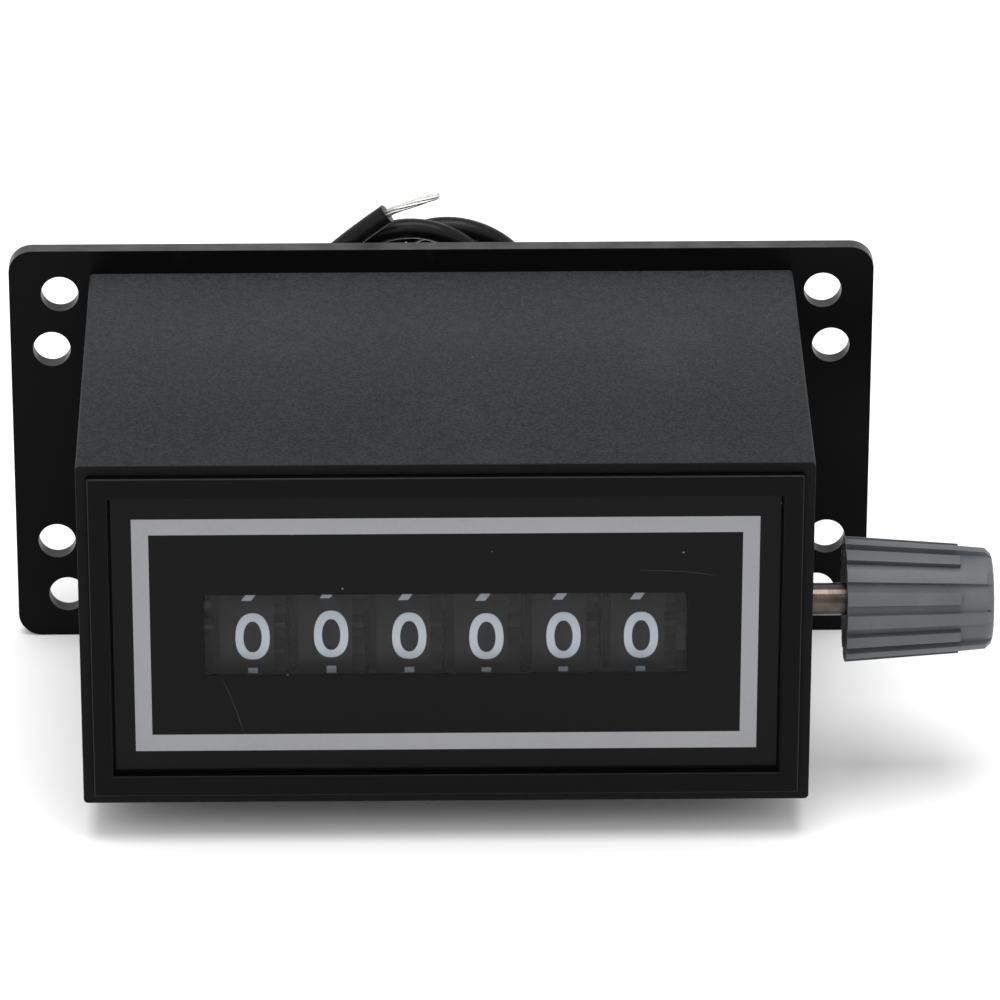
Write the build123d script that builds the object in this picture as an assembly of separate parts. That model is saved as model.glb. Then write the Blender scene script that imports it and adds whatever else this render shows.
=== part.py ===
from build123d import *
import math
import os

# Six-figure electromechanical impulse counter with a side reset knob and a rear mounting plate.
# Millimetres. The origin is the centre of the mounting plate's rear face, +X points to the knob,
# +Y out of the back and +Z up. The plate's lower edge is what the counter stands on.

# Mounting plate
PLATE_WIDTH = 101.6
PLATE_HEIGHT = 50.8
PLATE_THICKNESS = 2.0
PLATE_CORNER = 2.8
MOUNT_HOLE_RADIUS = 2.2
OUTER_HOLES = (89.7, 39.7)
INNER_HOLES = (91.9, 25.4)

# Case, with its centre a little above the plate's centre
CASE_WIDTH = 82.55
CASE_HEIGHT = 42.86
CASE_CENTRE_Z = 1.07
CASE_WALL = 2.0
CASE_RIM = 1.26
CASE_FRONT = -52.6
CASE_EDGE_RADIUS = 0.5
PLATE_FRONT = -PLATE_THICKNESS
BOSS_RADIUS = 3.0
BOSS_LENGTH = 12.0
BOSS_INSET = 2.6

# Front bezel, panel and window
BEZEL_FACE = -53.4
BEZEL_EDGE_RADIUS = 0.25
BEZEL_OPENING = (75.6, 35.2)
BEZEL_LEDGE = 1.5
BEZEL_LEDGE_THICKNESS = 1.5
BEZEL_SKIRT = 1.4
REBATE_END = -47.4
PANEL_FACE = -52.4
PANEL_THICKNESS = 0.4
PANEL_GAP = 0.25
WINDOW = (54.4, 10.1)
LENS_FLANGE = 1.2
LENS_FLANGE_THICKNESS = 1.1

# Number wheels on the reset shaft
WHEEL_COUNT = 6
WHEEL_PITCH = 8.824
WHEEL_RADIUS = 11.0
AXIS_Y = -39.3
AXIS_Z = -1.65
SHAFT_RADIUS = 1.85
RESET_GROOVE_WIDTH = 0.7
RESET_GROOVE_DEPTH = 0.6
CLIP_THICKNESS = 0.6
CLIP_RADIUS = 3.2
CLIP_SEAT = 0.5
RUNNING_CLEARANCE = 0.05
RIM_LEFT = -3.45
RIM_RIGHT = 2.65
RIM_INNER_RADIUS = 9.6
WEB_THICKNESS = 1.2
HUB_RADIUS = 3.3
GEAR_RIGHT = 4.0
CARRY_RADIUS = 8.0
CARRY_LEFT = -4.35
CARRY_NOTCH = 1.5
PAWL_CENTRE = 4.35
PAWL_LENGTH = 4.6
PAWL_WIDTH = 1.1
PAWL_THICKNESS = 0.9
PAWL_PIN_AT = 6.0
PAWL_PIN_RADIUS = 0.35

# Transfer gearing: 20 teeth on each wheel, 8 on each pinion
GEAR_TEETH = 20
PINION_TEETH = 8
GEAR_MODULE = 0.94
GEAR_TIP = 10.2
GEAR_ROOT = 8.5
PINION_TIP = 4.5
PINION_ROOT = 2.7
GEAR_TOOTH = 1.0
GEAR_SLOPE = 0.33
PINION_TOOTH = 0.9
PINION_SLOPE = 0.2
PINION_LEFT = -6.05
PINION_RIGHT = -3.6
PINION_DROP_ANGLE = 40.0
PINION_SHAFT_RADIUS = 1.0

# Mechanism frame
FRAME_X = 29.5
FRAME_SHEET = 1.0
FRAME_FRONT = -46.5
FRAME_BOTTOM = -16.5
FRAME_TOP = 18.5
FOOT_WIDTH = 6.0
FOOT_BOTTOM = -8.0
FOOT_TOP = 16.0
TIE_BAR_RADIUS = 1.5
TIE_BAR_END_RADIUS = 1.0
TIE_BARS = ((-12.0, -13.5), (-30.0, 14.8))
FOOT_SCREWS_Z = (12.0, -4.5)

# Verge, armature and coil
VERGE_Y = -25.0
VERGE_Z = AXIS_Z
VERGE_PIN_RADIUS = 1.0
ARBOR_RADIUS = 1.8
RATCHET_LEFT = 26.1
RATCHET_RIGHT = 27.3
RATCHET_TEETH = 10
RATCHET_TIP = 8.0
RATCHET_ROOT = 6.0
PALLET_ANGLE = 42.0
PALLET_GAPS = ((1, 0.3), (-1, 1.3))
PALLET_WIDTH = 2.4
COIL_X = 12.0
COIL_Z = 5.0
CORE_RADIUS = 3.0
CORE_RIVET_RADIUS = 2.2
CORE_FACE = -23.4
YOKE_SHEET = 1.5
YOKE_X = (COIL_X - 9.0, COIL_X + 9.0)
YOKE_BOTTOM = -8.2
YOKE_TOP = 14.0
BOBBIN_RADIUS = 7.0
WINDING_RADIUS = 6.6
BOBBIN_TUBE_RADIUS = 3.8
BOBBIN_FLANGE = 0.8
ARMATURE_Y = (VERGE_Y - 1.0, VERGE_Y + 0.5)
ARMATURE_TAIL = 3.6
SPRING_RADIUS = 1.4
SPRING_WIRE = 0.4
SPRING_Z = -7.5

# Reset knob
KNOB_START = 45.7
KNOB_END = 62.55
KNOB_SHORT_END = 58.7
KNOB_BIG_RADIUS = 7.2
KNOB_SHORT_RADIUS = 6.27
KNOB_END_RADIUS = 5.5
KNOB_NOSE = 0.9
KNOB_BORE_END = KNOB_END - 2.2
KNOB_RIB_HEIGHT = 0.7
KNOB_RIBS = 16
KNOB_RIB_ANGLE = 13.0
KNOB_HOLLOW_DEPTH = 10.0
KNOB_WALL = 1.2
KNOB_TILT = 27.0
INSERT_RADIUS = 2.9
BUSH_RADIUS = 3.4
BUSH_FLANGE_RADIUS = 4.6

# Leads: two hook-up wires folded into a hank that stands behind the plate
LEAD_DIAMETER = 2.4
GROMMET_X = 22.5
GROMMET_Z = -13.3
GROMMET_RADIUS = 4.0
GROMMET_FLANGE_RADIUS = 5.0
GROMMET_FLANGE = 1.2
LEAD_SPACING = 2.9
HANK_CENTRE_X = -1.2
HANK_BOTTOM = -25.4
HANK_TOP = 26.4
HANK_FRONT = 2.9
HANK_REAR = 14.6
HANK_HALF_WIDTH = 13.4
HANK_BUNDLE = 5.4
TIE_Z = 1.0
TIE_HEIGHT = 2.5
TIE_THICKNESS = 0.9
LEAD_A_EXIT = [
    (21.05, -5, -13.3), (21.05, 5.5, -13.3), (18, 12, -17.5), (9.5, 12.4, -23.0), (-2, 11.2, -24.1),
]
LEAD_B_EXIT = [
    (23.95, -5, -13.3), (23.95, 8, -13.3), (20, 15.2, -17.5), (11, 16, -23.2), (0, 13.8, -24.1),
]
LEAD_A_END = [
    (-4, 1.6, -24.1), (-13, 1.6, -21.5), (-19, 1.6, -13), (-21, 1.6, -2), (-20.2, 1.6, 9.5),
    (-16.6, 1.6, 20.1), (-6.3, 1.6, 28.4),
]
LEAD_B_END = [(-9.6, 4.2, 4), (-9.4, 3.2, 11.5), (-7.2, 2.6, 18.5)]
TIP_RADIUS = 0.5
TIP_LENGTH = 6.6
LEAD_A_TIP_DIRECTION = (0.94, 0, 0.34)
LEAD_B_TIP_DIRECTION = (0.5, -0.05, 0.86)

# Screws
CASE_SCREW_RADIUS = 1.45
FRAME_SCREW_RADIUS = 1.25
SCREW_HEAD_RADIUS = 2.5
SCREW_HEAD_HEIGHT = 1.2
SCREW_HEAD_EDGE = 0.5
SCREW_RECESS = 2.6
SCREW_RECESS_ARM = 0.6
YOKE_SCREWS = ((COIL_X - 6.6, -5.8), (COIL_X + 6.6, -5.8))

NODES = {}


def keep(name, shape):
    """Names a finished piece."""
    NODES[name] = shape


def block(x, y, z):
    """A box from three (low, high) pairs."""
    size = [high - low for low, high in (x, y, z)]
    centre = [(high + low) / 2 for low, high in (x, y, z)]
    return Pos(*centre) * Box(*size)


def rod_x(x, y, z, radius):
    """A cylinder along X from x[0] to x[1]."""
    return Pos((x[0] + x[1]) / 2, y, z) * Rot(0, 90, 0) * Cylinder(radius, x[1] - x[0])


def rod_y(x, y, z, radius):
    """A cylinder along Y from y[0] to y[1]."""
    return Pos(x, (y[0] + y[1]) / 2, z) * Rot(90, 0, 0) * Cylinder(radius, y[1] - y[0])


def slab_y(width, height, y, z=0.0, corner=0.0):
    """A rectangular slab that faces along Y, with rounded corners if asked."""
    outline = RectangleRounded(width, height, corner) if corner else Rectangle(width, height)
    return Pos(0, y[0], z) * Rot(90, 0, 0) * extrude(outline, -(y[1] - y[0]))


def slab_x(outline, x, y=0.0, z=0.0):
    """A profile drawn in (y, z) and extruded along X."""
    plane = Plane(origin=(x[0], y, z), x_dir=(0, 1, 0), z_dir=(1, 0, 0))
    return extrude(plane * outline, x[1] - x[0])


def mount_hole_places():
    """The eight mounting holes, as (x, z)."""
    corners = [(-1, -1), (-1, 1), (1, -1), (1, 1)]
    return [(sx * w / 2, sz * h / 2) for w, h in (OUTER_HOLES, INNER_HOLES) for sx, sz in corners]


def case_screw_places():
    """The four case screws, as (x, z)."""
    x = CASE_WIDTH / 2 - CASE_WALL - BOSS_INSET
    z = CASE_HEIGHT / 2 - CASE_WALL - BOSS_INSET
    return [(sx * x, CASE_CENTRE_Z + sz * z) for sx in (-1, 1) for sz in (-1, 1)]


def frame_screw_places():
    """The screws that hold the mechanism's feet and the yoke, as (x, z)."""
    x = FRAME_X - FOOT_WIDTH / 2
    return [(sx * x, z) for sx in (-1, 1) for z in FOOT_SCREWS_Z] + list(YOKE_SCREWS)


def make_plate():
    """The rear mounting plate with its eight holes, screw holes and lead hole."""
    plate = slab_y(PLATE_WIDTH, PLATE_HEIGHT, (PLATE_FRONT, 0), corner=PLATE_CORNER)
    through = (PLATE_FRONT - 1, 1)
    cuts = [rod_y(x, through, z, MOUNT_HOLE_RADIUS) for x, z in mount_hole_places()]
    cuts += [rod_y(x, through, z, CASE_SCREW_RADIUS + RUNNING_CLEARANCE) for x, z in case_screw_places()]
    cuts += [rod_y(x, through, z, FRAME_SCREW_RADIUS + RUNNING_CLEARANCE) for x, z in frame_screw_places()]
    cuts.append(rod_y(GROMMET_X, through, GROMMET_Z, GROMMET_RADIUS))
    keep("mounting_plate", plate - cuts)


def make_case():
    """The case tube, open at the back and front, with four screw bosses and the shaft's hole."""
    inner_w, inner_h = CASE_WIDTH - 2 * CASE_WALL, CASE_HEIGHT - 2 * CASE_WALL
    rebate_w, rebate_h = CASE_WIDTH - 2 * CASE_RIM, CASE_HEIGHT - 2 * CASE_RIM
    shell = slab_y(CASE_WIDTH, CASE_HEIGHT, (CASE_FRONT, PLATE_FRONT), CASE_CENTRE_Z, CASE_EDGE_RADIUS)
    shell -= slab_y(inner_w, inner_h, (CASE_FRONT - 1, 0), CASE_CENTRE_Z)
    shell -= slab_y(rebate_w, rebate_h, (CASE_FRONT - 1, REBATE_END), CASE_CENTRE_Z)
    boss_y = (PLATE_FRONT - BOSS_LENGTH, PLATE_FRONT)
    for x, z in case_screw_places():
        wall_x = math.copysign(CASE_WIDTH / 2 - CASE_WALL / 2, x)
        wall_z = CASE_CENTRE_Z + math.copysign(CASE_HEIGHT / 2 - CASE_WALL / 2, z - CASE_CENTRE_Z)
        shell += rod_y(x, boss_y, z, BOSS_RADIUS)
        shell += block(sorted((x, wall_x)), boss_y, sorted((z, wall_z)))
    for x, z in case_screw_places():
        shell -= rod_y(x, boss_y, z, CASE_SCREW_RADIUS + RUNNING_CLEARANCE)
    shell -= rod_x((CASE_WIDTH / 2 - 2 * CASE_WALL, CASE_WIDTH / 2 + 1), AXIS_Y, AXIS_Z, BUSH_RADIUS)
    keep("case_shell", shell)


def make_front():
    """The bezel frame, the panel in it and the clear window in the panel."""
    opening_w, opening_h = BEZEL_OPENING
    ledge_w, ledge_h = opening_w - 2 * BEZEL_LEDGE, opening_h - 2 * BEZEL_LEDGE
    outer_w, outer_h = CASE_WIDTH - 2 * CASE_RIM, CASE_HEIGHT - 2 * CASE_RIM
    skirt_w, skirt_h = outer_w - 2 * BEZEL_SKIRT, outer_h - 2 * BEZEL_SKIRT
    panel_rear = PANEL_FACE + PANEL_THICKNESS
    ledge_rear = panel_rear + BEZEL_LEDGE_THICKNESS
    bezel = slab_y(outer_w, outer_h, (BEZEL_FACE, REBATE_END), CASE_CENTRE_Z)
    front_edges = bezel.faces().sort_by(Axis.Y)[0].edges()
    bezel = fillet(front_edges, BEZEL_EDGE_RADIUS)
    bezel -= slab_y(opening_w, opening_h, (BEZEL_FACE - 1, panel_rear), CASE_CENTRE_Z)
    bezel -= slab_y(ledge_w, ledge_h, (panel_rear - 1, ledge_rear), CASE_CENTRE_Z)
    bezel -= slab_y(skirt_w, skirt_h, (ledge_rear, REBATE_END + 1), CASE_CENTRE_Z)
    keep("front_bezel", bezel)

    window_w, window_h = WINDOW
    panel_w, panel_h = opening_w - 2 * PANEL_GAP, opening_h - 2 * PANEL_GAP
    panel = slab_y(panel_w, panel_h, (PANEL_FACE, panel_rear), CASE_CENTRE_Z)
    panel -= slab_y(window_w, window_h, (PANEL_FACE - 1, panel_rear + 1), CASE_CENTRE_Z)
    keep("face_panel", panel)

    lens = slab_y(window_w, window_h, (PANEL_FACE, panel_rear), CASE_CENTRE_Z)
    flange_w, flange_h = window_w + 2 * LENS_FLANGE, window_h + 2 * LENS_FLANGE
    lens += slab_y(flange_w, flange_h, (panel_rear, panel_rear + LENS_FLANGE_THICKNESS), CASE_CENTRE_Z)
    keep("window_lens", lens)


def toothed(teeth, tip, root, pitch_radius, tooth, slope, turn):
    """A gear's outline in (y, z), with straight-sided teeth; turn is the first tooth's angle."""
    tip_half = tooth / 2 - slope * (tip - pitch_radius)
    root_half = tooth / 2 + slope * (pitch_radius - root)
    points = []
    for i in range(teeth):
        middle = turn + 2 * math.pi * i / teeth
        for radius, half in ((root, -root_half), (tip, -tip_half), (tip, tip_half), (root, root_half)):
            angle = middle + math.atan2(half, radius)
            points.append((radius * math.cos(angle), radius * math.sin(angle)))
    return make_face(Polyline(*points, close=True))


def wheel_places():
    """The middle of each wheel's figures along the shaft, from the left."""
    return [WHEEL_PITCH * (i - (WHEEL_COUNT - 1) / 2) for i in range(WHEEL_COUNT)]


def pinion_place():
    """The pinion shaft's (y, z), below and behind the wheels."""
    reach = GEAR_MODULE * (GEAR_TEETH + PINION_TEETH) / 2
    drop = math.radians(PINION_DROP_ANGLE)
    return AXIS_Y + reach * math.cos(drop), AXIS_Z - reach * math.sin(drop)


def number_wheel(x, gear, bore):
    """One number wheel: rim, web, gear ring, carry disc, hub with its pawl slot, and pawl pin."""
    notch = Rot(0, 0, 90) * Pos(CARRY_RADIUS, 0) * Rectangle(2 * CARRY_NOTCH, CARRY_NOTCH)
    barrel = Circle(CARRY_RADIUS) - Circle(CARRY_RADIUS - WEB_THICKNESS)
    pawl_slot = Pos(HUB_RADIUS, 0) * Rectangle(2 * HUB_RADIUS, PAWL_WIDTH + 0.2)
    web = (x + RIM_RIGHT - WEB_THICKNESS, x + RIM_RIGHT)
    carry = (x + CARRY_LEFT, x + RIM_LEFT + WEB_THICKNESS)
    wheel = slab_x(Circle(WHEEL_RADIUS) - Circle(RIM_INNER_RADIUS), (x + RIM_LEFT, x + RIM_RIGHT))
    wheel += slab_x(Circle(WHEEL_RADIUS), web)
    wheel += slab_x(gear, (web[1], x + GEAR_RIGHT))
    wheel += slab_x(barrel - notch, carry)
    wheel += slab_x(barrel, (x + RIM_LEFT + 0.2, web[0]))
    wheel += slab_x(Circle(HUB_RADIUS), (carry[0] + 0.3, x + GEAR_RIGHT))
    wheel -= slab_x(pawl_slot, (web[0] - PAWL_THICKNESS - 0.2, web[0]))
    wheel += slab_x(Pos(PAWL_PIN_AT, 0) * Circle(PAWL_PIN_RADIUS), (web[0] - PAWL_THICKNESS - 0.4, web[0]))
    return wheel - slab_x(bore, (x - WHEEL_PITCH, x + WHEEL_PITCH))


def make_wheels():
    """The six number wheels, the reset pawl inside each, and the ratchet beside the last."""
    bore = Circle(SHAFT_RADIUS + RUNNING_CLEARANCE)
    space_at_pinion = math.pi / GEAR_TEETH - math.radians(PINION_DROP_ANGLE)
    pitch_radius = GEAR_MODULE * GEAR_TEETH / 2
    gear = toothed(GEAR_TEETH, GEAR_TIP, GEAR_ROOT, pitch_radius, GEAR_TOOTH, GEAR_SLOPE, space_at_pinion)
    pawl = Pos(PAWL_CENTRE, 0) * SlotOverall(PAWL_LENGTH, PAWL_WIDTH)
    pawl -= Pos(PAWL_PIN_AT, 0) * Circle(PAWL_PIN_RADIUS + 0.03)
    place = Pos(0, AXIS_Y, AXIS_Z)
    for number, x in enumerate(wheel_places(), start=1):
        pawl_end = x + RIM_RIGHT - WEB_THICKNESS - 0.1
        keep(f"number_wheel_{number}", place * number_wheel(x, gear, bore))
        keep(f"reset_pawl_{number}", place * slab_x(pawl, (pawl_end - PAWL_THICKNESS, pawl_end)))

    half_step = math.pi / RATCHET_TEETH
    star = [
        (radius * math.cos(step * half_step), radius * math.sin(step * half_step))
        for i in range(RATCHET_TEETH)
        for radius, step in ((RATCHET_TIP, 2 * i + 1), (RATCHET_ROOT, 2 * i + 2))
    ]
    ratchet = make_face(Polyline(*star, close=True)) - bore
    keep("ratchet_wheel", place * slab_x(ratchet, (RATCHET_LEFT, RATCHET_RIGHT)))


def make_pinions():
    """The five transfer pinions and their shaft."""
    y, z = pinion_place()
    toward_wheel = math.pi - math.radians(PINION_DROP_ANGLE)
    pitch_radius = GEAR_MODULE * PINION_TEETH / 2
    outline = toothed(
        PINION_TEETH, PINION_TIP, PINION_ROOT, pitch_radius, PINION_TOOTH, PINION_SLOPE, toward_wheel
    )
    outline -= Circle(PINION_SHAFT_RADIUS + RUNNING_CLEARANCE)
    for number, x in enumerate(wheel_places()[1:], start=1):
        keep(f"transfer_pinion_{number}", slab_x(outline, (x + PINION_LEFT, x + PINION_RIGHT), y, z))
    reach = FRAME_X + FRAME_SHEET + 1
    keep("pinion_shaft", rod_x((-reach, reach), y, z, PINION_SHAFT_RADIUS))


def make_frame():
    """The two side plates with their feet, and the tie bars between them."""
    pinion_y, pinion_z = pinion_place()
    holes = [
        (AXIS_Y, AXIS_Z, SHAFT_RADIUS + RUNNING_CLEARANCE),
        (pinion_y, pinion_z, PINION_SHAFT_RADIUS),
        (VERGE_Y, VERGE_Z, VERGE_PIN_RADIUS),
    ]
    holes += [(y, z, TIE_BAR_END_RADIUS) for y, z in TIE_BARS]
    outline = Polyline(
        (PLATE_FRONT, FRAME_BOTTOM), (PLATE_FRONT, FRAME_TOP), (-36, FRAME_TOP), (FRAME_FRONT, 9),
        (FRAME_FRONT, -10), (-40, FRAME_BOTTOM), close=True,
    )
    frame_hole = FRAME_SCREW_RADIUS + RUNNING_CLEARANCE
    for name, side in (("left_side_plate", -1), ("right_side_plate", 1)):
        sheet_x = sorted((side * FRAME_X, side * (FRAME_X + FRAME_SHEET)))
        foot_x = sorted((side * (FRAME_X - FOOT_WIDTH), side * FRAME_X))
        side_plate = slab_x(make_face(outline), sheet_x)
        side_plate += block(foot_x, (PLATE_FRONT - FRAME_SHEET, PLATE_FRONT), (FOOT_BOTTOM, FOOT_TOP))
        through = (side * FRAME_X - 2, side * FRAME_X + 2)
        side_plate -= [rod_x(through, y, z, radius) for y, z, radius in holes]
        screw_x = side * (FRAME_X - FOOT_WIDTH / 2)
        side_plate -= [rod_y(screw_x, (PLATE_FRONT - 2, 0), z, frame_hole) for z in FOOT_SCREWS_Z]
        keep(name, side_plate)
    bars = []
    for y, z in TIE_BARS:
        bar = rod_x((-FRAME_X, FRAME_X), y, z, TIE_BAR_RADIUS)
        bars.append(bar + rod_x((-FRAME_X - FRAME_SHEET, FRAME_X + FRAME_SHEET), y, z, TIE_BAR_END_RADIUS))
    keep("tie_bars", Compound(bars))


def make_coil():
    """The coil and its steel circuit."""
    yoke_rear = (PLATE_FRONT - YOKE_SHEET, PLATE_FRONT)
    yoke = block(YOKE_X, yoke_rear, (YOKE_BOTTOM, YOKE_TOP))
    yoke += block(YOKE_X, (CORE_FACE, PLATE_FRONT), (YOKE_TOP - YOKE_SHEET, YOKE_TOP))
    leg_z = COIL_Z - BOBBIN_RADIUS - 0.4
    yoke += block(YOKE_X, (CORE_FACE + 2, PLATE_FRONT), (leg_z - YOKE_SHEET, leg_z))
    yoke -= rod_y(COIL_X, yoke_rear, COIL_Z, CORE_RIVET_RADIUS)
    yoke -= [rod_y(x, yoke_rear, z, FRAME_SCREW_RADIUS + RUNNING_CLEARANCE) for x, z in YOKE_SCREWS]
    keep("solenoid_yoke", yoke)

    coil_y = (CORE_FACE + 0.4, PLATE_FRONT - YOKE_SHEET)
    core = rod_y(COIL_X, (CORE_FACE, coil_y[1]), COIL_Z, CORE_RADIUS)
    keep("solenoid_core", core + rod_y(COIL_X, yoke_rear, COIL_Z, CORE_RIVET_RADIUS))
    bobbin = rod_y(COIL_X, coil_y, COIL_Z, BOBBIN_TUBE_RADIUS)
    bobbin += rod_y(COIL_X, (coil_y[0], coil_y[0] + BOBBIN_FLANGE), COIL_Z, BOBBIN_RADIUS)
    bobbin += rod_y(COIL_X, (coil_y[1] - BOBBIN_FLANGE, coil_y[1]), COIL_Z, BOBBIN_RADIUS)
    keep("coil_bobbin", bobbin - rod_y(COIL_X, (CORE_FACE - 1, 0), COIL_Z, CORE_RADIUS))
    turns = (coil_y[0] + BOBBIN_FLANGE, coil_y[1] - BOBBIN_FLANGE)
    winding = rod_y(COIL_X, turns, COIL_Z, WINDING_RADIUS)
    keep("coil_winding", winding - rod_y(COIL_X, turns, COIL_Z, BOBBIN_TUBE_RADIUS))


def make_armature():
    """The armature and verge that turn on their pin, and the return spring behind the tail."""
    plate_x = (YOKE_X[0] + 1, YOKE_X[1] - 1)
    tail_x = (COIL_X - ARMATURE_TAIL / 2, COIL_X + ARMATURE_TAIL / 2)
    arbor_x = (plate_x[0], RATCHET_RIGHT + 1)
    bore_x = (arbor_x[0] - 1, arbor_x[1] + 1)
    armature = block(plate_x, ARMATURE_Y, (VERGE_Z, YOKE_TOP - YOKE_SHEET - 0.7))
    armature += block(tail_x, ARMATURE_Y, (SPRING_Z - SPRING_RADIUS, VERGE_Z))
    armature += rod_x(arbor_x, VERGE_Y, VERGE_Z, ARBOR_RADIUS)
    armature -= rod_x(bore_x, VERGE_Y, VERGE_Z, VERGE_PIN_RADIUS + RUNNING_CLEARANCE)
    keep("armature", armature)

    arms = Circle(ARBOR_RADIUS + 1.2)
    for side, gap in PALLET_GAPS:
        angle = side * math.radians(PALLET_ANGLE)
        reach = RATCHET_TIP + gap
        touch = (AXIS_Y - VERGE_Y + reach * math.cos(angle), reach * math.sin(angle))
        outer = (touch[0] + PALLET_WIDTH * math.cos(angle), touch[1] + PALLET_WIDTH * math.sin(angle))
        arms += make_face(Polyline((0, -1.0 * side), touch, outer, (0.6, 1.6 * side), close=True))
    arms -= Circle(ARBOR_RADIUS)
    keep("verge", slab_x(arms, (RATCHET_LEFT, RATCHET_RIGHT), VERGE_Y, VERGE_Z))

    pin_end = FRAME_X + FRAME_SHEET
    keep("verge_pin", rod_x((-pin_end, pin_end), VERGE_Y, VERGE_Z, VERGE_PIN_RADIUS))
    spring_y = (ARMATURE_Y[1], PLATE_FRONT - YOKE_SHEET)
    spring = rod_y(COIL_X, spring_y, SPRING_Z, SPRING_RADIUS)
    keep("return_spring", spring - rod_y(COIL_X, spring_y, SPRING_Z, SPRING_RADIUS - SPRING_WIRE))


def make_reset():
    """The reset shaft with its clips, and the bush it runs in."""
    clip_x = FRAME_X + FRAME_SHEET + 0.3
    groove_z = (AXIS_Z + SHAFT_RADIUS - RESET_GROOVE_DEPTH, AXIS_Z + SHAFT_RADIUS + 1)
    groove_y = (AXIS_Y - RESET_GROOVE_WIDTH / 2, AXIS_Y + RESET_GROOVE_WIDTH / 2)
    shaft = rod_x((-clip_x - 1.5, KNOB_BORE_END), AXIS_Y, AXIS_Z, SHAFT_RADIUS)
    shaft -= block((-FRAME_X, FRAME_X), groove_y, groove_z)
    clips = []
    for x in (-clip_x - CLIP_THICKNESS, clip_x):
        clip = rod_x((x, x + CLIP_THICKNESS), AXIS_Y, AXIS_Z, CLIP_RADIUS)
        clip -= rod_x((x, x + CLIP_THICKNESS), AXIS_Y, AXIS_Z, SHAFT_RADIUS - CLIP_SEAT)
        shaft -= clip
        mouth = block((x, x + CLIP_THICKNESS), (AXIS_Y - 0.9, AXIS_Y + 0.9), (AXIS_Z - 4, AXIS_Z))
        clips.append(clip - mouth)
    keep("reset_shaft", shaft)
    keep("shaft_clips", Compound(clips))

    wall_x = (CASE_WIDTH / 2 - CASE_WALL, CASE_WIDTH / 2)
    bush = rod_x(wall_x, AXIS_Y, AXIS_Z, BUSH_RADIUS)
    bush += rod_x((wall_x[0] - 1, wall_x[0]), AXIS_Y, AXIS_Z, BUSH_FLANGE_RADIUS)
    bush -= rod_x((wall_x[0] - 2, wall_x[1] + 1), AXIS_Y, AXIS_Z, SHAFT_RADIUS + RUNNING_CLEARANCE)
    keep("shaft_bush", bush)


def knob_body():
    """The knob's tapered body with its rounded end, about the X axis."""
    shoulder = KNOB_END_RADIUS - KNOB_NOSE
    half = Polyline(
        (KNOB_START, 0), (KNOB_START, KNOB_BIG_RADIUS - KNOB_RIB_HEIGHT),
        (KNOB_SHORT_END, KNOB_SHORT_RADIUS - KNOB_RIB_HEIGHT + 0.05), (KNOB_END - KNOB_NOSE, KNOB_END_RADIUS),
    )
    cap = ThreePointArc(
        (KNOB_END - KNOB_NOSE, KNOB_END_RADIUS),
        (KNOB_END - 0.3 * KNOB_NOSE, KNOB_END_RADIUS - 0.3 * KNOB_NOSE),
        (KNOB_END, shoulder),
    )
    back = Polyline((KNOB_END, shoulder), (KNOB_END, 0), (KNOB_START, 0))
    return revolve(make_face(half + cap + back), Axis.X)


def knob_ribs():
    """The grip ribs, short and long in turn, about the X axis."""
    foot = INSERT_RADIUS
    short_rib = Polyline(
        (KNOB_START, foot), (KNOB_START, KNOB_BIG_RADIUS), (KNOB_SHORT_END, KNOB_SHORT_RADIUS),
        (KNOB_SHORT_END, foot), close=True,
    )
    long_rib = Polyline(
        (KNOB_START, foot), (KNOB_START, KNOB_BIG_RADIUS), (KNOB_SHORT_END, KNOB_SHORT_RADIUS),
        (KNOB_END - KNOB_NOSE, KNOB_END_RADIUS + 0.5), (KNOB_END - 0.2, KNOB_END_RADIUS - 0.15),
        (KNOB_END - 0.2, foot), close=True,
    )
    ribs = []
    for i in range(KNOB_RIBS):
        rib = revolve(make_face(short_rib if i % 2 == 0 else long_rib), Axis.X, KNOB_RIB_ANGLE)
        ribs.append(Rot(360 / KNOB_RIBS * i - KNOB_RIB_ANGLE / 2, 0, 0) * rib)
    return ribs


def make_knob():
    """The ribbed reset knob, hollow behind, and its brass insert."""
    # The ribs start on +Y, so half a turn less the tilt puts a short rib up and forward.
    knob = Pos(0, AXIS_Y, AXIS_Z) * Rot(180 - KNOB_TILT, 0, 0) * (knob_body() + knob_ribs())
    hollow_end = KNOB_START + KNOB_HOLLOW_DEPTH
    hollow = Pos((KNOB_START + hollow_end) / 2, AXIS_Y, AXIS_Z) * Rot(0, 90, 0) * Cone(
        KNOB_BIG_RADIUS - KNOB_RIB_HEIGHT - KNOB_WALL, KNOB_SHORT_RADIUS - KNOB_RIB_HEIGHT - KNOB_WALL,
        KNOB_HOLLOW_DEPTH,
    )
    insert_x = (KNOB_START + 0.8, KNOB_BORE_END)
    insert = rod_x(insert_x, AXIS_Y, AXIS_Z, INSERT_RADIUS)
    knob -= hollow - rod_x((insert_x[0], hollow_end), AXIS_Y, AXIS_Z, INSERT_RADIUS + 1.0)
    knob -= insert
    keep("reset_knob", knob)
    keep("knob_insert", insert - rod_x(insert_x, AXIS_Y, AXIS_Z, SHAFT_RADIUS))


def pan_screw(x, z, radius, length):
    """A pan-head screw through the plate from behind, with a cross recess."""
    head = rod_y(x, (0, SCREW_HEAD_HEIGHT), z, SCREW_HEAD_RADIUS)
    head = fillet(head.faces().sort_by(Axis.Y)[-1].edges(), SCREW_HEAD_EDGE)
    for width, height in ((SCREW_RECESS, SCREW_RECESS_ARM), (SCREW_RECESS_ARM, SCREW_RECESS)):
        head -= Pos(x, SCREW_HEAD_HEIGHT - 0.2, z) * Box(width, 1.0, height)
    return head + rod_y(x, (-length, 0), z, radius)


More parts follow.
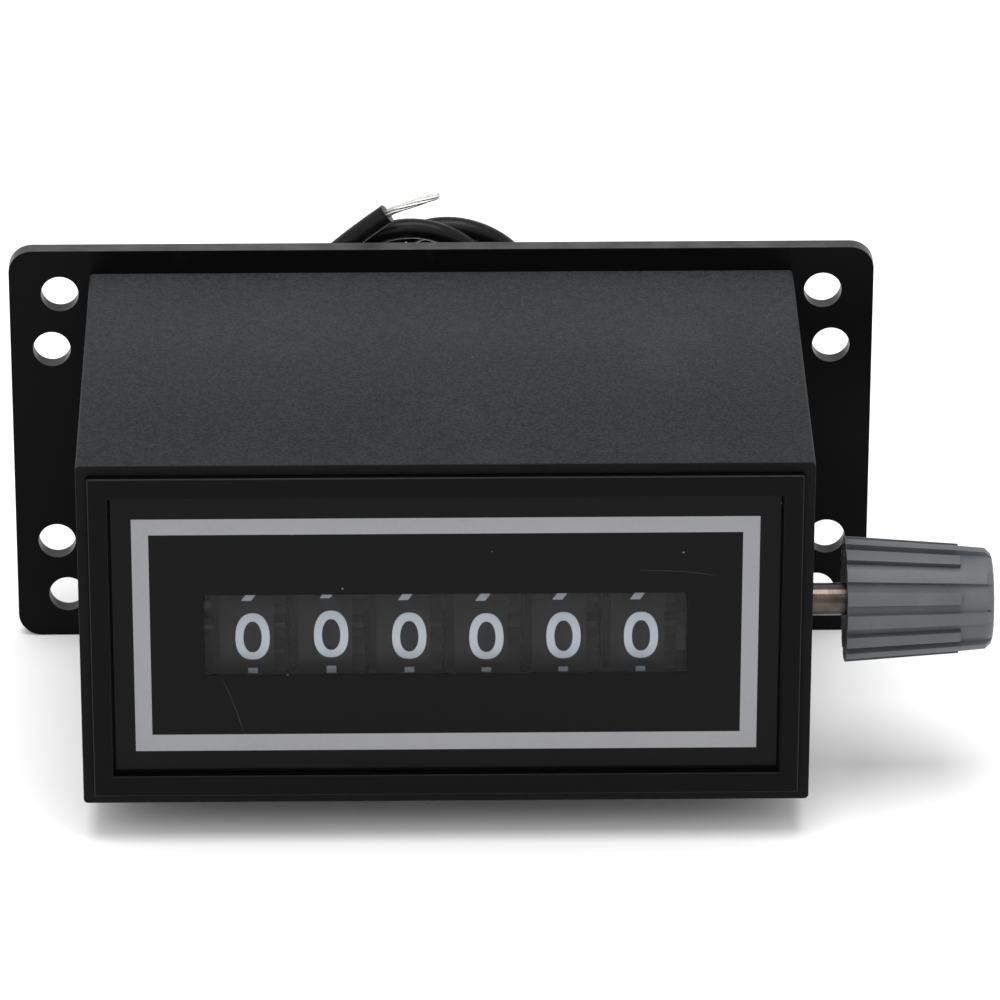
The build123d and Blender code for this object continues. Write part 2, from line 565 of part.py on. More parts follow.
def make_screws():
    """The case screws and the mechanism screws, each set as one group."""
    case = [pan_screw(x, z, CASE_SCREW_RADIUS, BOSS_LENGTH) for x, z in case_screw_places()]
    frame = [pan_screw(x, z, FRAME_SCREW_RADIUS, PLATE_THICKNESS + 1.5) for x, z in frame_screw_places()]
    keep("case_screws", Compound(case))
    keep("frame_screws", Compound(frame))


def lead_tube(name, points):
    """A lead's tube along straight runs with the largest arcs between them."""
    runs = [Vector(*end) - Vector(*start) for start, end in zip(points, points[1:])]
    radii = []
    for before, after in zip(runs, runs[1:]):
        half_turn = math.radians(before.get_angle(after)) / 2
        radii.append(0.45 * min(before.length, after.length) / math.tan(half_turn))
    path = FilletPolyline(*points, radius=radii)
    section = Plane(origin=path @ 0, z_dir=path % 0) * Circle(LEAD_DIAMETER / 2)
    keep(name, sweep(section, path=path))


def make_leads():
    """The grommet, the leads' free stretches, the hank between them, its tie and the tinned tips."""
    hole_places = [(GROMMET_X + side * LEAD_SPACING / 2, GROMMET_Z) for side in (-1, 1)]
    grommet = rod_y(GROMMET_X, (PLATE_FRONT - GROMMET_FLANGE, GROMMET_FLANGE), GROMMET_Z, GROMMET_RADIUS)
    grommet += rod_y(GROMMET_X, (0, GROMMET_FLANGE), GROMMET_Z, GROMMET_FLANGE_RADIUS)
    grommet += rod_y(GROMMET_X, (PLATE_FRONT - GROMMET_FLANGE, PLATE_FRONT), GROMMET_Z, GROMMET_FLANGE_RADIUS)
    grommet -= [rod_y(x, (-6, 3), z, LEAD_DIAMETER / 2) for x, z in hole_places]
    keep("lead_grommet", grommet)

    height = HANK_TOP - HANK_BOTTOM
    outer = SlotOverall(height, 2 * HANK_HALF_WIDTH)
    inner = SlotOverall(height - 2 * HANK_BUNDLE, 2 * (HANK_HALF_WIDTH - HANK_BUNDLE))
    ring = Rot(0, 0, 90) * (outer - inner)
    middle_z = (HANK_TOP + HANK_BOTTOM) / 2
    place = Plane(origin=(HANK_CENTRE_X, HANK_FRONT, middle_z), x_dir=(1, 0, 0), z_dir=(0, -1, 0))
    keep("lead_hank", extrude(place * ring, -(HANK_REAR - HANK_FRONT)))
    leg_x = (HANK_CENTRE_X + HANK_HALF_WIDTH - HANK_BUNDLE, HANK_CENTRE_X + HANK_HALF_WIDTH)
    tie_z = (TIE_Z - TIE_HEIGHT / 2, TIE_Z + TIE_HEIGHT / 2)
    leg_y = (HANK_FRONT, HANK_REAR)
    grown = [(low - TIE_THICKNESS, high + TIE_THICKNESS) for low, high in (leg_x, leg_y)]
    keep("hank_tie", block(*grown, tie_z) - block(leg_x, leg_y, tie_z))

    lead_tube("lead_a_exit", LEAD_A_EXIT)
    lead_tube("lead_b_exit", LEAD_B_EXIT)
    lead_tube("lead_a_end", LEAD_A_END)
    lead_tube("lead_b_end", LEAD_B_END)
    ends = (
        ("lead_a_tip", LEAD_A_END[-1], LEAD_A_TIP_DIRECTION),
        ("lead_b_tip", LEAD_B_END[-1], LEAD_B_TIP_DIRECTION),
    )
    for name, start, direction in ends:
        keep(name, extrude(Plane(origin=start, z_dir=direction) * Circle(TIP_RADIUS), TIP_LENGTH))


make_plate()
make_case()
make_front()
make_wheels()
make_pinions()
make_frame()
make_coil()
make_armature()
make_reset()
make_knob()
make_screws()
make_leads()

os.makedirs("parts", exist_ok=True)
for node, shape in NODES.items():
    export_step(shape, f"parts/{node}.step")
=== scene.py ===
import logging
import math
from dataclasses import dataclass, field
from enum import Enum
from typing import Protocol

import bmesh
import bpy
from mathutils import Matrix, Vector


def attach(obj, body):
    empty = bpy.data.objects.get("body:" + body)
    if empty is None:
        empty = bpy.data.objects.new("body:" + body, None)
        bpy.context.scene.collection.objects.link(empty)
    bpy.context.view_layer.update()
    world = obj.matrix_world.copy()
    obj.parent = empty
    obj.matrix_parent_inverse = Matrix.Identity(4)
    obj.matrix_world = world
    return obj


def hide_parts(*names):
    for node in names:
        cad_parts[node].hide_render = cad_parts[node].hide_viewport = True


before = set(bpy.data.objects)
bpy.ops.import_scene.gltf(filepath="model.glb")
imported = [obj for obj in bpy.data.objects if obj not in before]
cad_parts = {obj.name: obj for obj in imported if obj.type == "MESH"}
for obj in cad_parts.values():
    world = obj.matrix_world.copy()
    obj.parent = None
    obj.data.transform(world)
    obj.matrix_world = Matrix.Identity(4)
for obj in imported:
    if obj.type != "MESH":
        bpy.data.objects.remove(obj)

LOG = logging.getLogger("impulse_counter")
MM = 0.001

Point = tuple[float, float, float]
Flat = tuple[float, float]
Colour = tuple[float, float, float]
Strip = tuple[list[Flat], list[Flat], bool]

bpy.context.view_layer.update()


# ---------------------------------------------------------------- shader tools


class Term:
    """A number that varies over a surface, written as maths on shader sockets."""

    def __init__(self, shader: "Shader", socket: bpy.types.NodeSocket) -> None:
        """Wraps one socket of the shader's tree."""
        self.shader = shader
        self.socket = socket

    def _maths(self, operation: str, first: "Term | float", second: "Term | float") -> "Term":
        """Adds one Math node.

        Args:
            operation: the Math node's operation.
            first: its first value.
            second: its second value.

        Returns:
            The node's result.
        """
        node = self.shader.node("ShaderNodeMath", {"operation": operation}, {0: first, 1: second})
        return Term(self.shader, node.outputs[0])

    def __add__(self, other: "Term | float") -> "Term":
        """self + other."""
        return self._maths("ADD", self, other)

    def __radd__(self, other: float) -> "Term":
        """other + self."""
        return self._maths("ADD", other, self)

    def __sub__(self, other: "Term | float") -> "Term":
        """self - other."""
        return self._maths("SUBTRACT", self, other)

    def __rsub__(self, other: float) -> "Term":
        """other - self."""
        return self._maths("SUBTRACT", other, self)

    def __mul__(self, other: "Term | float") -> "Term":
        """self * other."""
        return self._maths("MULTIPLY", self, other)

    def __rmul__(self, other: float) -> "Term":
        """other * self."""
        return self._maths("MULTIPLY", other, self)

    def __truediv__(self, other: "Term | float") -> "Term":
        """self / other."""
        return self._maths("DIVIDE", self, other)

    def __rtruediv__(self, other: float) -> "Term":
        """other / self."""
        return self._maths("DIVIDE", other, self)

    def __pow__(self, other: float) -> "Term":
        """self ** other."""
        return self._maths("POWER", self, other)

    def __rpow__(self, other: float) -> "Term":
        """other ** self."""
        return self._maths("POWER", other, self)

    def __abs__(self) -> "Term":
        """abs(self)."""
        return self._maths("ABSOLUTE", self, 0.0)

    def fraction(self) -> "Term":
        """The part of self after the decimal point."""
        return self._maths("FRACT", self, 0.0)

    def larger(self, other: "Term | float") -> "Term":
        """The larger of self and other."""
        return self._maths("MAXIMUM", self, other)

    def step(self, low: float, high: float, bottom: float = 0.0, top: float = 1.0) -> "Term":
        """A smooth step.

        Args:
            low: where the step starts.
            high: where the step ends.
            bottom: the result at and before low.
            top: the result at and after high.

        Returns:
            The stepped value.
        """
        node = self.shader.node(
            "ShaderNodeMapRange",
            {"interpolation_type": "SMOOTHSTEP"},
            {"Value": self, "From Min": low, "From Max": high, "To Min": bottom, "To Max": top},
        )
        return Term(self.shader, node.outputs[0])


class Shader:
    """One material, with its Principled surface and the tools that feed it."""

    def __init__(self, name: str, constants: dict[str, object]) -> None:
        """Starts a material.

        Args:
            name: the material's name.
            constants: values set on the surface's own sockets.
        """
        self.material = bpy.data.materials.new(name)
        self.material.use_nodes = True
        self.tree = self.material.node_tree
        self.tree.nodes.clear()
        self.surface = self.node("ShaderNodeBsdfPrincipled", {}, constants)
        self.node("ShaderNodeOutputMaterial", {}, {"Surface": self.surface.outputs[0]})
        self.place = self.node("ShaderNodeTexCoord", {}, {}).outputs["Object"]

    def node(
        self, kind: str, settings: dict[str, object], sockets: dict[int | str, object]
    ) -> bpy.types.Node:
        """Adds a node.

        Args:
            kind: the node's type.
            settings: its properties, set first, with a ramp's stops under "stops".
            sockets: values, terms or sockets for its inputs.

        Returns:
            The node.
        """
        made = self.tree.nodes.new(kind)
        for key, value in settings.items():
            if key == "stops":
                ramp = made.color_ramp.elements
                while len(ramp) < len(value):
                    ramp.new(0.5)
                for stop, (place, colour) in zip(ramp, value):
                    stop.position = place
                    stop.color = (*colour, 1.0)
            else:
                setattr(made, key, value)
        for key, value in sockets.items():
            given = value.socket if isinstance(value, Term) else value
            if isinstance(given, bpy.types.NodeSocket):
                self.tree.links.new(given, made.inputs[key])
            else:
                made.inputs[key].default_value = given
        return made

    def feed(self, name: str, value: "Term | bpy.types.NodeSocket") -> None:
        """Links a varying value to the surface's socket of that name."""
        self.tree.links.new(value.socket if isinstance(value, Term) else value, self.surface.inputs[name])

    def stretched(self, factors: Point, shift: Point = (0.0, 0.0, 0.0)) -> bpy.types.NodeSocket:
        """The place on the object, scaled along each axis.

        Args:
            factors: the scale along X, Y and Z.
            shift: what is added after the scale.

        Returns:
            A vector socket.
        """
        scaled = self.node("ShaderNodeVectorMath", {"operation": "MULTIPLY"}, {0: self.place, 1: factors})
        moved = self.node("ShaderNodeVectorMath", {"operation": "ADD"}, {0: scaled.outputs[0], 1: shift})
        return moved.outputs[0]

    def noise(
        self, size: float, detail: float = 2.0, stretch: Point = (1.0, 1.0, 1.0), seed: float = 0.0
    ) -> Term:
        """Cloudy noise.

        Args:
            size: the size of its largest features, in millimetres.
            detail: how many finer layers it has.
            stretch: how many times longer the features are along each axis.
            seed: moves the pattern.

        Returns:
            A value from 0 to 1, about 0.5 on average.
        """
        factors = tuple(1.0 / (size * MM * along) for along in stretch)
        place = self.stretched(factors, (seed, seed * 1.7, seed * 0.6))
        made = self.node("ShaderNodeTexNoise", {}, {"Vector": place, "Scale": 1.0, "Detail": detail})
        return Term(self, made.outputs["Fac"])

    def dots(self, spacing: float, radius: float, share: float, seed: float = 0.0) -> Term:
        """Small scattered round dots.

        Args:
            spacing: the average distance between cells, in millimetres.
            radius: a dot's radius, in millimetres.
            share: the share of cells that hold a dot.
            seed: moves the pattern.

        Returns:
            1 inside a dot and 0 outside.
        """
        scale = 1.0 / (spacing * MM)
        place = self.stretched((scale, scale, scale), (seed, seed, seed))
        cell = self.node("ShaderNodeTexVoronoi", {"feature": "F1"}, {"Vector": place, "Scale": 1.0})
        lot = self.node("ShaderNodeSeparateColor", {}, {0: cell.outputs["Color"]})
        reach = radius / spacing
        near = Term(self, cell.outputs["Distance"]).step(reach * 0.6, reach, 1.0, 0.0)
        return near * Term(self, lot.outputs[0]).step(1.0 - share, 1.0 - share + 0.001)

    def axes(self) -> tuple[Term, Term, Term]:
        """The place on the object as X, Y and Z, in millimetres."""
        parts = self.node("ShaderNodeSeparateXYZ", {}, {0: self.stretched((1000.0, 1000.0, 1000.0))})
        return tuple(Term(self, socket) for socket in parts.outputs)

    def facing(self) -> tuple[Term, Term, Term]:
        """The surface's own normal as X, Y and Z."""
        normal = self.node("ShaderNodeNewGeometry", {}, {}).outputs["Normal"]
        parts = self.node("ShaderNodeSeparateXYZ", {}, {0: normal})
        return tuple(Term(self, socket) for socket in parts.outputs)

    def mixed(self, mask: Term, below: object, above: object) -> bpy.types.NodeSocket:
        """Mixes two colours.

        Args:
            mask: 0 shows below and 1 shows above.
            below: a colour or a colour socket.
            above: a colour or a colour socket.

        Returns:
            A colour socket.
        """
        first = (*below, 1.0) if isinstance(below, tuple) else below
        second = (*above, 1.0) if isinstance(above, tuple) else above
        made = self.node("ShaderNodeMix", {"data_type": "RGBA"}, {0: mask, 6: first, 7: second})
        return made.outputs[2]

    def bump(self, height: Term, depth: float, strength: float = 1.0) -> None:
        """Raises the surface.

        Args:
            height: the relief, 0 to 1.
            depth: the relief's full depth, in millimetres.
            strength: how much of it shows.
        """
        sockets = {"Strength": strength, "Distance": depth * MM, "Height": height}
        made = self.node("ShaderNodeBump", {}, sockets)
        self.feed("Normal", made.outputs[0])


# ---------------------------------------------------------------- finishes


@dataclass(frozen=True)
class Moulded:
    """A moulded or cast plain material: plastic, rubber or nylon, with grain and slight mottling."""

    name: str
    colour: Colour
    light: Colour
    roughness: float = 0.5
    spread: float = 0.1
    specular: float = 0.4
    grain: float = 0.35
    relief: float = 0.02
    mottle: float = 6.0
    edge: Colour | None = None
    index: float = 1.5

    def material(self) -> bpy.types.Material:
        """Builds the material."""
        shader = Shader(self.name, {"Specular IOR Level": self.specular, "IOR": self.index})
        cloud = shader.noise(self.mottle, 3.0)
        grain = shader.noise(self.grain, 2.0, seed=3.1)
        colour = shader.mixed(cloud.step(0.3, 0.7), self.colour, self.light)
        if self.edge is not None:
            side = shader.facing()[1]
            colour = shader.mixed(abs(side).step(0.55, 0.9, 1.0, 0.0), colour, self.edge)
        shader.feed("Base Color", colour)
        shader.feed("Roughness", self.roughness + self.spread * (cloud + grain - 1.0))
        shader.bump(grain, self.relief)
        return shader.material


@dataclass(frozen=True)
class Sparked:
    """A plastic with a spark-eroded texture: fine grain in two sizes, and a few polished rubs."""

    name: str
    colour: Colour
    light: Colour
    roughness: float
    specular: float
    grain: float
    relief: float
    flecks: float
    # colour of faces turned forward; on the case it is painted shade, darker than the top
    front: Colour
    # colour of the rounded edges: a painted highlight line on the bezel, a darker band of painted shade on
    # the case
    painted_edge_shading: Colour

    def material(self) -> bpy.types.Material:
        """Builds the material: textured walls, a front face in its own colour (painted shade on the case)
        and painted light and shade on rounded edges.

        The walls are painted lighter from front to rear, whatever light falls on them: painted light that
        lifts the rear, where the plate shades it.
        """
        shader = Shader(self.name, {"Specular IOR Level": self.specular})
        fine = shader.noise(self.grain, 2.0)
        coarse = shader.noise(self.grain * 3.2, 2.0, seed=7.0)
        cloud = shader.noise(18.0, 2.0, seed=2.0)
        fleck = shader.dots(3.4, 0.16, self.flecks, 5.0)
        grain = (0.62 * fine + 0.28 * coarse + 0.1 * cloud).step(0.36, 0.64)
        _, depth, _ = shader.axes()
        # painted light: the walls grow lighter towards the rear, lifting the shade that the plate casts
        # there; the rest of this term is grain
        grain_and_painted_rear_light = 0.23 + 0.5 * depth.step(-48.0, -4.0) + 0.55 * (grain - 0.5)
        walls = shader.mixed(fleck * 0.6, shader.mixed(grain_and_painted_rear_light, self.colour, self.light), (0.09, 0.09, 0.092))
        ahead = abs(shader.facing()[1])
        # painted light and shade on rounded edges: a highlight line on the bezel, a darker band on the
        # case's front edge
        rounded = ahead.step(0.15, 0.45) * ahead.step(0.8, 0.97, 1.0, 0.0)
        # painted shade: faces turned forward take the front colour, which on the case is darker than its
        # top
        faced = shader.mixed(ahead.step(0.8, 0.97), walls, self.front)
        shader.feed("Base Color", shader.mixed(rounded * (0.4 + 0.6 * coarse), faced, self.painted_edge_shading))
        shader.feed("Roughness", self.roughness + 0.22 * (coarse - 0.5) - 0.12 * cloud.step(0.58, 0.75))
        shader.bump(0.65 * fine + 0.35 * coarse, self.relief)
        return shader.material


@dataclass(frozen=True)
class Enamel:
    """Gloss black enamel on steel with scuffs, its edges and hole walls painted lighter as a painted
    highlight.
    """

    name: str
    colour: Colour
    # colour of the edges and hole walls: a painted highlight, as if they caught the light
    edge: Colour
    scuff: Colour

    def material(self) -> bpy.types.Material:
        """Builds the material."""
        shader = Shader(self.name, {"Specular IOR Level": 0.05})
        side_y = abs(shader.facing()[1])
        rubbed = shader.noise(7.0, 4.0, (1.0, 1.0, 2.4), 4.0).step(0.66, 0.8)
        streak = shader.noise(0.5, 2.0, (14.0, 1.0, 1.0), 9.0).step(0.6, 0.74)
        scuffs = rubbed * (0.35 + 0.65 * streak)
        # painted highlight: faces turned neither forward nor back (edges, hole walls) are painted lighter,
        # in patches
        edge_light_patches = shader.noise(3.0, 3.0, seed=1.0).step(0.2, 0.75, 0.55, 1.0)
        edge = side_y.step(0.5, 0.95, 1.0, 0.0) * edge_light_patches
        colour = shader.mixed(scuffs * 0.5, self.colour, self.scuff)
        shader.feed("Base Color", shader.mixed(edge, colour, self.edge))
        shader.feed("Roughness", 0.24 + 0.3 * scuffs + 0.12 * shader.noise(30.0, 2.0, seed=6.0))
        shader.bump(shader.noise(1.6, 2.0, seed=8.0), 0.012)
        return shader.material


@dataclass(frozen=True)
class Hairline:
    """One curved scratch: a short arc of a large circle on the panel."""

    centre: Flat
    radius: float
    middle: Flat
    reach: float
    width: float
    strength: float


@dataclass(frozen=True)
class PanelGloss:
    """A gloss black panel with specks and hairline scratches."""

    name: str
    colour: Colour
    mark: Colour
    hairlines: tuple[Hairline, ...]
    specular: float = 0.2

    def material(self) -> bpy.types.Material:
        """Builds the material."""
        shader = Shader(self.name, {"Specular IOR Level": self.specular})
        across, _, up = shader.axes()
        marks = shader.dots(2.6, 0.075, 0.16, 11.0) * 0.55
        marks = marks.larger(shader.dots(5.5, 0.12, 0.3, 2.0) * 0.7)
        for line in self.hairlines:
            over, high = across - line.centre[0], up - line.centre[1]
            off = abs((over * over + high * high) ** 0.5 - line.radius)
            away = off.step(line.width * 0.4, line.width, 1.0, 0.0)
            left, rise = across - line.middle[0], up - line.middle[1]
            near = ((left * left + rise * rise) ** 0.5).step(line.reach * 0.5, line.reach, 1.0, 0.0)
            marks = marks.larger(away * near * line.strength)
        cloud = shader.noise(14.0, 3.0, seed=5.0)
        shader.feed("Base Color", shader.mixed(marks, self.colour, self.mark))
        shader.feed("Roughness", 0.16 + 0.1 * cloud + 0.4 * marks)
        shader.bump(shader.noise(2.2, 2.0, seed=3.0) - 0.6 * marks, 0.008)
        return shader.material


@dataclass(frozen=True)
class Acrylic:
    """Clear acrylic with a slight haze and fine wiping marks."""

    name: str
    haze: float
    colour: Colour

    def material(self) -> bpy.types.Material:
        """Builds the material."""
        shader = Shader(self.name, {"Specular IOR Level": 0.25, "IOR": 1.49})
        wipe = shader.noise(0.5, 2.0, (12.0, 1.0, 1.4), 2.0).step(0.6, 0.75)
        cloud = shader.noise(5.0, 3.0, seed=1.5)
        speck = shader.dots(2.4, 0.07, 0.2, 4.0)
        shader.feed("Base Color", shader.mixed(speck, self.colour, (0.6, 0.6, 0.6)))
        shader.feed("Alpha", self.haze * (0.8 + 0.4 * cloud) + 0.05 * wipe + 0.5 * speck)
        shader.feed("Roughness", 0.08 + 0.1 * cloud + 0.2 * wipe)
        return shader.material


@dataclass(frozen=True)
class Ink:
    """Opaque printing ink with a slightly uneven film."""

    name: str
    colour: Colour
    thin: Colour
    roughness: float

    def material(self) -> bpy.types.Material:
        """Builds the material."""
        shader = Shader(self.name, {"Specular IOR Level": 0.25})
        film = shader.noise(0.45, 3.0)
        cloud = shader.noise(9.0, 2.0, seed=2.0)
        worn = (0.6 * film + 0.4 * cloud).step(0.3, 0.6, 1.0, 0.0)
        shader.feed("Base Color", shader.mixed(worn, self.colour, self.thin))
        shader.feed("Roughness", self.roughness + 0.2 * (film - 0.5))
        shader.bump(film, 0.006)
        return shader.material


class Lay(Enum):
    """The way a metal's tool marks run."""

    ACROSS = (24.0, 1.0, 1.0)
    TURNED = (0.12, 3.0, 3.0)
    EVEN = (1.0, 1.0, 1.0)


@dataclass(frozen=True)
class Metal:
    """A plain or plated metal with tool marks and slight tarnish."""

    name: str
    colour: Colour
    tarnish: Colour
    roughness: float
    lay: Lay = Lay.EVEN
    marks: float = 0.3
    relief: float = 0.006

    def material(self) -> bpy.types.Material:
        """Builds the material."""
        shader = Shader(self.name, {"Metallic": 1.0})
        lines = shader.noise(self.marks, 2.0, self.lay.value)
        stain = shader.noise(4.0, 4.0, seed=3.0)
        shader.feed("Base Color", shader.mixed(stain.step(0.42, 0.72), self.colour, self.tarnish))
        shader.feed("Roughness", self.roughness + 0.16 * (lines - 0.5) + 0.15 * (stain - 0.5))
        shader.bump(lines, self.relief)
        return shader.material


@dataclass(frozen=True)
class Winding:
    """A coil of varnished wire under a half-lapped clear tape."""

    name: str
    wire: Colour
    shade: Colour
    gauge: float

    def material(self) -> bpy.types.Material:
        """Builds the material."""
        shader = Shader(self.name, {"Specular IOR Level": 0.5, "Coat Weight": 0.3, "Coat Roughness": 0.2})
        _, along, _ = shader.axes()
        turn = abs((along / self.gauge).fraction() - 0.5) * 2.0
        lap = abs((along / 5.0).fraction() - 0.5).step(0.42, 0.5)
        shader.feed("Base Color", shader.mixed(turn.step(0.5, 1.0), self.wire, self.shade))
        shader.feed("Roughness", 0.3 + 0.2 * lap)
        shader.bump(1.0 - turn * turn + 0.6 * lap, self.gauge * 0.3)
        return shader.material


# the second colour is the painted highlight on the plate's edges and hole walls; the third is its scuffs
PLATE = Enamel("plate_enamel", (0.0032, 0.0032, 0.0034), (0.066, 0.066, 0.068), (0.035, 0.035, 0.036))
# front colour: painted shade on the case's front faces; last colour: painted shade on its rounded front
# edges; the walls are painted lighter towards the rear
CASE = Sparked(
    "case_texture", (0.0118, 0.0124, 0.0134), (0.036, 0.0378, 0.0405), 0.62, 0.08, 0.34, 0.05, 0.06,
    (0.0042, 0.0042, 0.0043), (0.006, 0.006, 0.0062),
)
# the last colour is a painted highlight line on the bezel's rounded edges
BEZEL = Sparked(
    "bezel_satin", (0.0008, 0.0008, 0.0008), (0.0016, 0.0016, 0.0017), 0.52, 0.06, 0.25, 0.012, 0.02,
    (0.0028, 0.0029, 0.0029), (0.026, 0.026, 0.027),
)
PANEL = PanelGloss(
    "panel_gloss",
    (0.002, 0.002, 0.0021),
    (0.25, 0.25, 0.24),
    (
        Hairline((-20.0, 45.0), 46.0, (-14.0, -0.2), 5.0, 0.035, 0.16),
        Hairline((22.0, -40.0), 49.0, (26.0, 8.8), 5.0, 0.035, 0.14),
        Hairline((10.0, -30.0), 24.0, (31.5, -12.2), 2.2, 0.08, 0.9),
        Hairline((-60.0, -20.0), 38.0, (-24.0, -8.0), 4.0, 0.035, 0.14),
    ),
    0.1,
)
WINDOW = Acrylic("window_acrylic", 0.1, (0.1, 0.1, 0.103))
BORDER = Ink("border_silver", (0.246, 0.248, 0.26), (0.234, 0.236, 0.248), 0.5)
FIGURE = Ink("figure_white", (0.53, 0.585, 0.645), (0.5, 0.553, 0.612), 0.5)
WHEEL = Moulded("wheel_plastic", (0.009, 0.009, 0.0093), (0.013, 0.013, 0.0135), 0.55, 0.1, 0.09, 0.5, 0.01)
NYLON = Moulded("natural_nylon", (0.6, 0.58, 0.5), (0.72, 0.7, 0.62), 0.4, 0.1, 0.45, 0.4, 0.01)
PINION = Moulded("pinion_nylon", (0.02, 0.02, 0.02), (0.03, 0.03, 0.031), 0.42, 0.1, 0.3, 0.4, 0.01)
STEEL = Metal("zinc_steel", (0.58, 0.58, 0.6), (0.42, 0.42, 0.43), 0.36, Lay.ACROSS)
SHEET = Metal("black_sheet", (0.05, 0.05, 0.053), (0.03, 0.03, 0.031), 0.42, Lay.ACROSS)
NICKEL = Metal("nickel_plate", (0.1, 0.084, 0.074), (0.04, 0.031, 0.025), 0.16, Lay.TURNED)
BRASS = Metal("turned_brass", (0.72, 0.5, 0.2), (0.46, 0.3, 0.12), 0.3, Lay.TURNED)
SCREW = Metal("black_zinc", (0.16, 0.16, 0.17), (0.3, 0.3, 0.3), 0.38, Lay.EVEN)
TINNED = Metal("tinned_copper", (0.78, 0.77, 0.75), (0.4, 0.38, 0.35), 0.3, Lay.EVEN, 0.5, 0.05)
COIL = Winding("coil_wire", (0.5, 0.2, 0.05), (0.2, 0.07, 0.02), 0.35)
KNOB = Moulded(
    "knob_plastic", (0.07, 0.079, 0.086), (0.086, 0.095, 0.102), 0.46, 0.14, 0.36, 0.3, 0.03, 5.0,
)
RUBBER = Moulded("grommet_rubber", (0.012, 0.012, 0.012), (0.02, 0.02, 0.02), 0.6, 0.1, 0.3, 0.4, 0.015)
SLEEVE = Moulded(
    "lead_sleeve", (0.003, 0.003, 0.0032), (0.006, 0.006, 0.0064), 0.32, 0.14, 0.5, 0.8, 0.02, 3.0,
    index=1.26,
)
TIE = Moulded("tie_nylon", (0.01, 0.01, 0.011), (0.018, 0.018, 0.019), 0.4, 0.1, 0.4, 0.5, 0.01)
FLOOR = Moulded("studio_floor", (0.9, 0.9, 0.9), (0.91, 0.91, 0.91), 0.8, 0.05, 0.1, 2.0, 0.01, 90.0)


# ---------------------------------------------------------------- shared making


class Finish(Protocol):
    """Anything that can build a material of its own name."""

    name: str

    def material(self) -> bpy.types.Material:
        """Builds the material."""


class Workshop:
    """Makes meshes and dresses pieces, with each finish built once."""

    made: dict[str, bpy.types.Material] = {}

    @classmethod
    def finish(cls, finish: Finish) -> bpy.types.Material:
        """The finish's material, built at its first use."""
        if finish.name not in cls.made:
            cls.made[finish.name] = finish.material()
        return cls.made[finish.name]

    @classmethod
    def paint(cls, piece: bpy.types.Object, finish: Finish) -> None:
        """Gives a piece one finish all over."""
        piece.data.materials.clear()
        piece.data.materials.append(cls.finish(finish))

    @classmethod
    def hand_over(cls, piece: bpy.types.Object, finish: Finish, slot: str, body: str) -> bpy.types.Object:
        """Finishes a new piece.

        Args:
            piece: the new object.
            finish: its finish.
            slot: a material slot's name; not used.
            body: the body it rides on.

        Returns:
            The piece.
        """
        cls.paint(piece, finish)
        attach(piece, body)
        LOG.info("%s rides on %s", piece.name, body)
        return piece

    @staticmethod
    def mesh(
        name: str, points: list[Point], faces: list[tuple[int, ...]], smooth: bool = False
    ) -> bpy.types.Object:
        """Makes a mesh object from points in millimetres.

        Args:
            name: the piece's name.
            points: its corners.
            faces: its faces.
            smooth: whether it is shaded smooth.

        Returns:
            The object, linked to the scene.
        """
        data = bpy.data.meshes.new(name)
        data.from_pydata([Vector(point) * MM for point in points], [], faces)
        work = bmesh.new()
        work.from_mesh(data)
        bmesh.ops.recalc_face_normals(work, faces=work.faces)
        for face in work.faces:
            face.smooth = smooth
        work.to_mesh(data)
        work.free()
        piece = bpy.data.objects.new(name, data)
        bpy.context.scene.collection.objects.link(piece)
        return piece

    @staticmethod
    def soften(piece: bpy.types.Object, width: float, segments: int = 2, angle: float = 32.0) -> None:
        """Rounds a piece's hard edges a little.

        Args:
            piece: a mesh object.
            width: the rounding's width, in millimetres.
            segments: the steps across it.
            angle: the least angle between faces that is rounded, in degrees.
        """
        weld = piece.modifiers.new("weld", "WELD")
        weld.merge_threshold = 2e-6
        flat = piece.modifiers.new("flat", "DECIMATE")
        flat.decimate_type = "DISSOLVE"
        flat.angle_limit = math.radians(0.4)
        bevel = piece.modifiers.new("round", "BEVEL")
        bevel.width = width * MM
        bevel.segments = segments
        bevel.limit_method = "ANGLE"
        bevel.angle_limit = math.radians(angle)
        bevel.miter_outer = "MITER_ARC"
        normals = piece.modifiers.new("shade", "WEIGHTED_NORMAL")
        normals.keep_sharp = True
        normals.weight = 60


@dataclass
class Dressing:
    """A finish and an edge rounding for CAD nodes that keep their shape."""

    nodes: tuple[str, ...]
    finish: Finish
    rounding: float = 0.0

    def dress(self) -> None:
        """Paints the nodes and rounds their edges."""
        for node in self.nodes:
            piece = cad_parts[node]
            Workshop.paint(piece, self.finish)
            if self.rounding:
                Workshop.soften(piece, self.rounding)
            LOG.info("%s dressed in %s", node, self.finish.name)


# ---------------------------------------------------------------- leads


